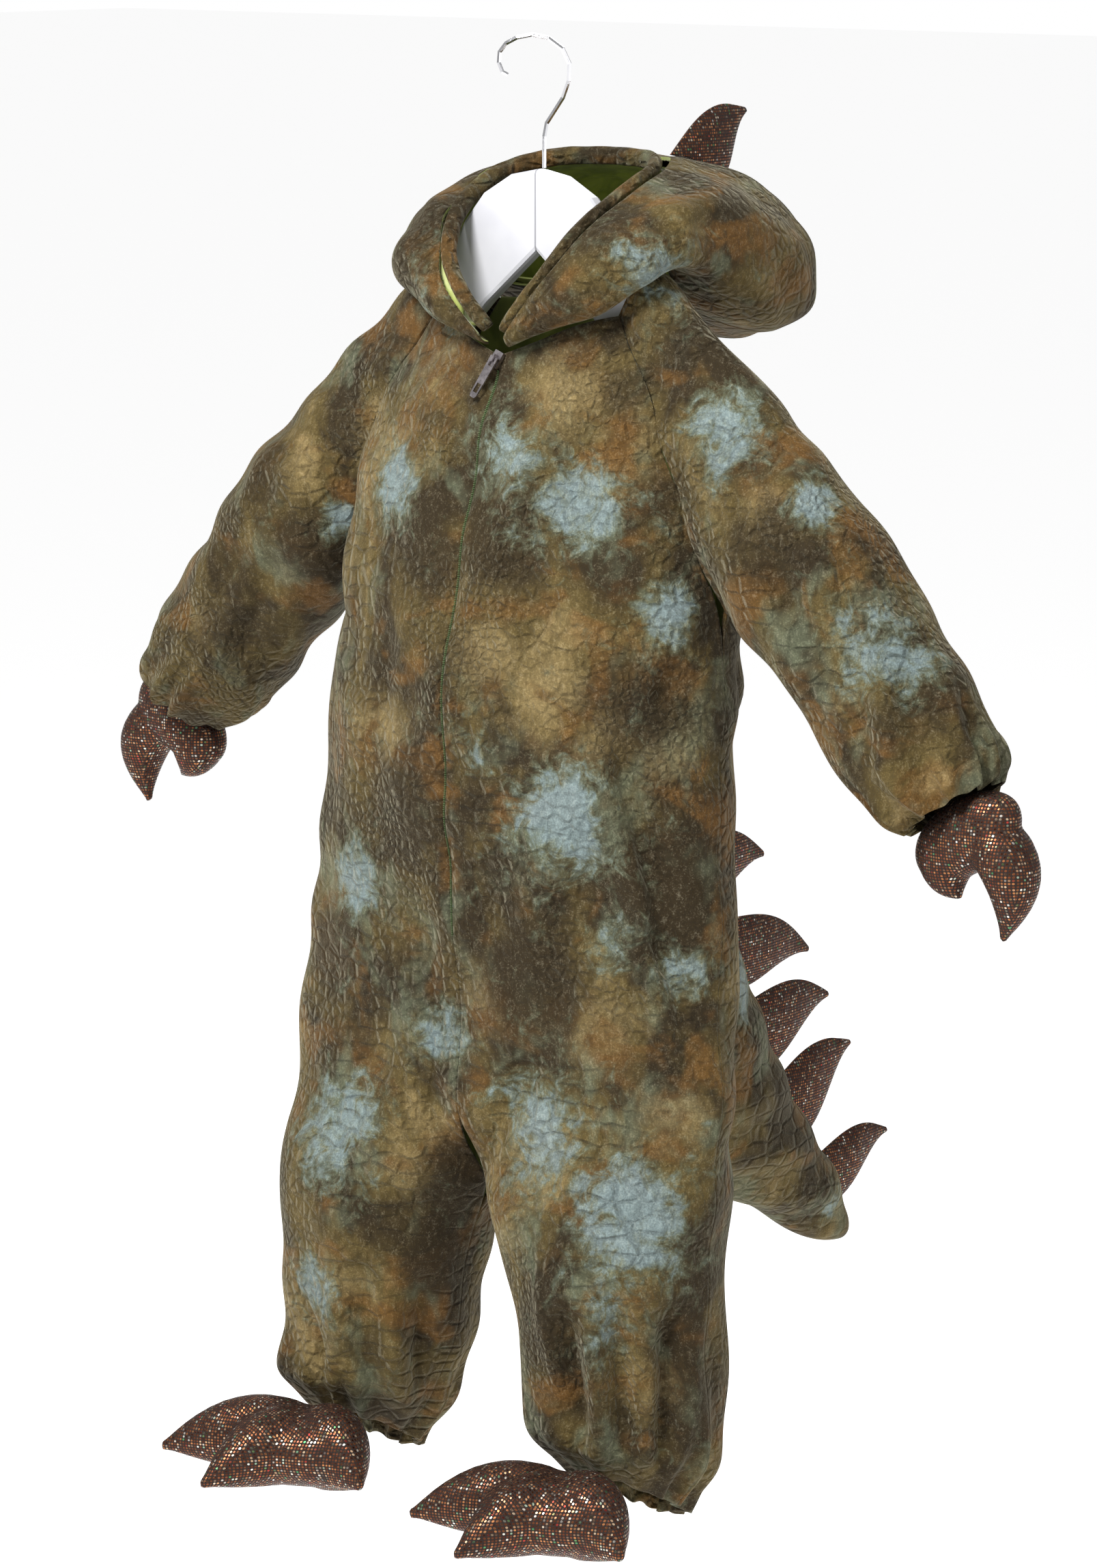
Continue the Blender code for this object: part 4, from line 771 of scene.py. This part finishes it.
def rowTree(finish):
    # one small rounded piece every so often along a path, lying along it
    tree = bpy.data.node_groups.new("rowAlongPath", "GeometryNodeTree")
    tree.interface.new_socket("Path", in_out="INPUT", socket_type="NodeSocketGeometry")
    for name in ("Spacing", "Piece Length", "Piece Width", "Piece Height"):
        tree.interface.new_socket(name, in_out="INPUT", socket_type="NodeSocketFloat")
    tree.interface.new_socket("Geometry", in_out="OUTPUT", socket_type="NodeSocketGeometry")
    add = tree.nodes.new
    given, result = add("NodeGroupInput"), add("NodeGroupOutput")
    toCurve, spread = add("GeometryNodeMeshToCurve"), add("GeometryNodeResampleCurve")
    spread.mode = "LENGTH"
    bead = add("GeometryNodeMeshUVSphere")
    bead.inputs["Segments"].default_value, bead.inputs["Rings"].default_value = 8, 5
    bead.inputs["Radius"].default_value = 0.5
    tangent, turn = add("GeometryNodeInputTangent"), add("FunctionNodeAlignRotationToVector")
    turn.axis = "X"
    size, sized = add("ShaderNodeCombineXYZ"), add("ShaderNodeVectorMath")
    jitter = add("FunctionNodeRandomValue")
    jitter.data_type = "FLOAT"
    jitter.inputs[2].default_value, jitter.inputs[3].default_value = 0.88, 1.08
    jitter.inputs["Seed"].default_value = 7
    sized.operation = "SCALE"
    place, real = add("GeometryNodeInstanceOnPoints"), add("GeometryNodeRealizeInstances")
    paint = add("GeometryNodeSetMaterial")
    paint.inputs["Material"].default_value = finish
    smooth = add("GeometryNodeSetShadeSmooth")
    link = tree.links.new
    link(given.outputs["Path"], toCurve.inputs["Mesh"])
    link(toCurve.outputs["Curve"], spread.inputs["Curve"])
    link(given.outputs["Spacing"], spread.inputs["Length"])
    link(tangent.outputs[0], turn.inputs["Vector"])
    for axis, name in zip("XYZ", ("Piece Length", "Piece Width", "Piece Height")):
        link(given.outputs[name], size.inputs[axis])
    link(size.outputs[0], sized.inputs[0])
    link(jitter.outputs[1], sized.inputs["Scale"])
    link(spread.outputs["Curve"], place.inputs["Points"])
    link(bead.outputs["Mesh"], place.inputs["Instance"])
    link(turn.outputs[0], place.inputs["Rotation"])
    link(sized.outputs[0], place.inputs["Scale"])
    link(place.outputs[0], real.inputs[0])
    link(real.outputs[0], smooth.inputs["Geometry"])
    link(smooth.outputs[0], paint.inputs["Geometry"])
    link(paint.outputs[0], result.inputs[0])
    return tree


def makeRow(name, look, paths, finish):
    points, edges = [], []
    for path in paths:
        edges += [(len(points) + k, len(points) + k + 1) for k in range(len(path) - 1)]
        points += [tuple(p) for p in path]
    mesh = bpy.data.meshes.new(name + "_path")
    mesh.from_pydata(points, edges, [])
    thing = bpy.data.objects.new(name, mesh)
    bpy.context.scene.collection.objects.link(thing)
    row = thing.modifiers.new("row", "NODES")
    row.node_group = rowTree(finish)
    for item in row.node_group.interface.items_tree:
        if item.in_out == "INPUT" and item.name in rowLook[look]:
            row[item.identifier] = rowLook[look][item.name]
    made = bpy.data.meshes.new_from_object(thing.evaluated_get(bpy.context.evaluated_depsgraph_get()))
    thing.modifiers.clear()
    thing.data = made
    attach(thing, "costume")
    print("row", name, len(made.polygons), "faces")
    return thing


def surfaceOf(names):
    points, faces = [], []
    for name in names:
        mesh = bpy.data.objects[name].data
        start = len(points)
        points += [v.co.copy() for v in mesh.vertices]
        faces += [[start + k for k in face.vertices] for face in mesh.polygons]
    return BVHTree.FromPolygons(points, faces)


def frontPath(surface, x, top, bottom, lift, steps=90):
    path = []
    for z in np.linspace(top, bottom, steps):
        hit = surface.ray_cast(Vector((x(z), -0.4, z)), Vector((0, 1, 0)))[0]
        if hit is not None:
            path.append(hit + Vector((0, -lift, 0)))
    return path


def makeRows():
    front = surfaceOf(["front_left_cloth", "front_right_cloth"])
    flyX = zipLine["flyX"]
    fly = frontPath(front, lambda z: flyX + 0.0008 * math.sin(z * 60), zipLine["flyTop"], zipLine["flyBottom"],
                    0.0001)
    tack = []   # the line turns in under the zip's end
    for k in range(1, 7):
        dip = 0.004 * math.sin(k / 6 * math.pi / 2)
        tack.append(fly[-1] + Vector((-flyX * k / 6, 0.0002, -dip)))
    makeRow("fly_stitches", "flyStitch", [fly + tack], thread)
    coil = frontPath(front, lambda z: 0.0005, zipLine["top"] - 0.006, zipLine["bottom"], 0.0002, 140)
    makeRow("zip_coil", "zipCoil", [coil], coilCloth)
    hood = surfaceOf(["hood_left_cloth", "hood_centre_cloth", "hood_right_cloth"])
    casing = pointsOf(nodes["hood_casing"].data)
    mouth = np.array((0.0, 0.030, -0.060))
    turns = np.arctan2(casing[:, 0], casing[:, 1] - mouth[1])
    path = []
    for low in np.linspace(-math.pi + 0.12, math.pi - 0.12, 64):
        near = casing[np.abs(turns - low) < 0.09]
        if len(near):
            core = near.mean(axis=0)
            away = core - mouth
            aim = Vector(core + away / np.linalg.norm(away) * 0.0095)
            hit = hood.find_nearest(aim)[0]
            path.append(hit + (aim - hit).normalized() * 0.0001)
    makeRow("casing_stitches", "casingStitch", [path], thread)


makeRows()

# hard pieces keep their CAD form

hardPieces = {"hanger_wood": gloss, "hanger_hook": chrome, "zip_slider": zipMetal, "zip_pull": zipMetal}
for name, finish in hardPieces.items():
    for slotHolder in nodes[name].material_slots:
        slotHolder.material = finish
print("hard pieces")
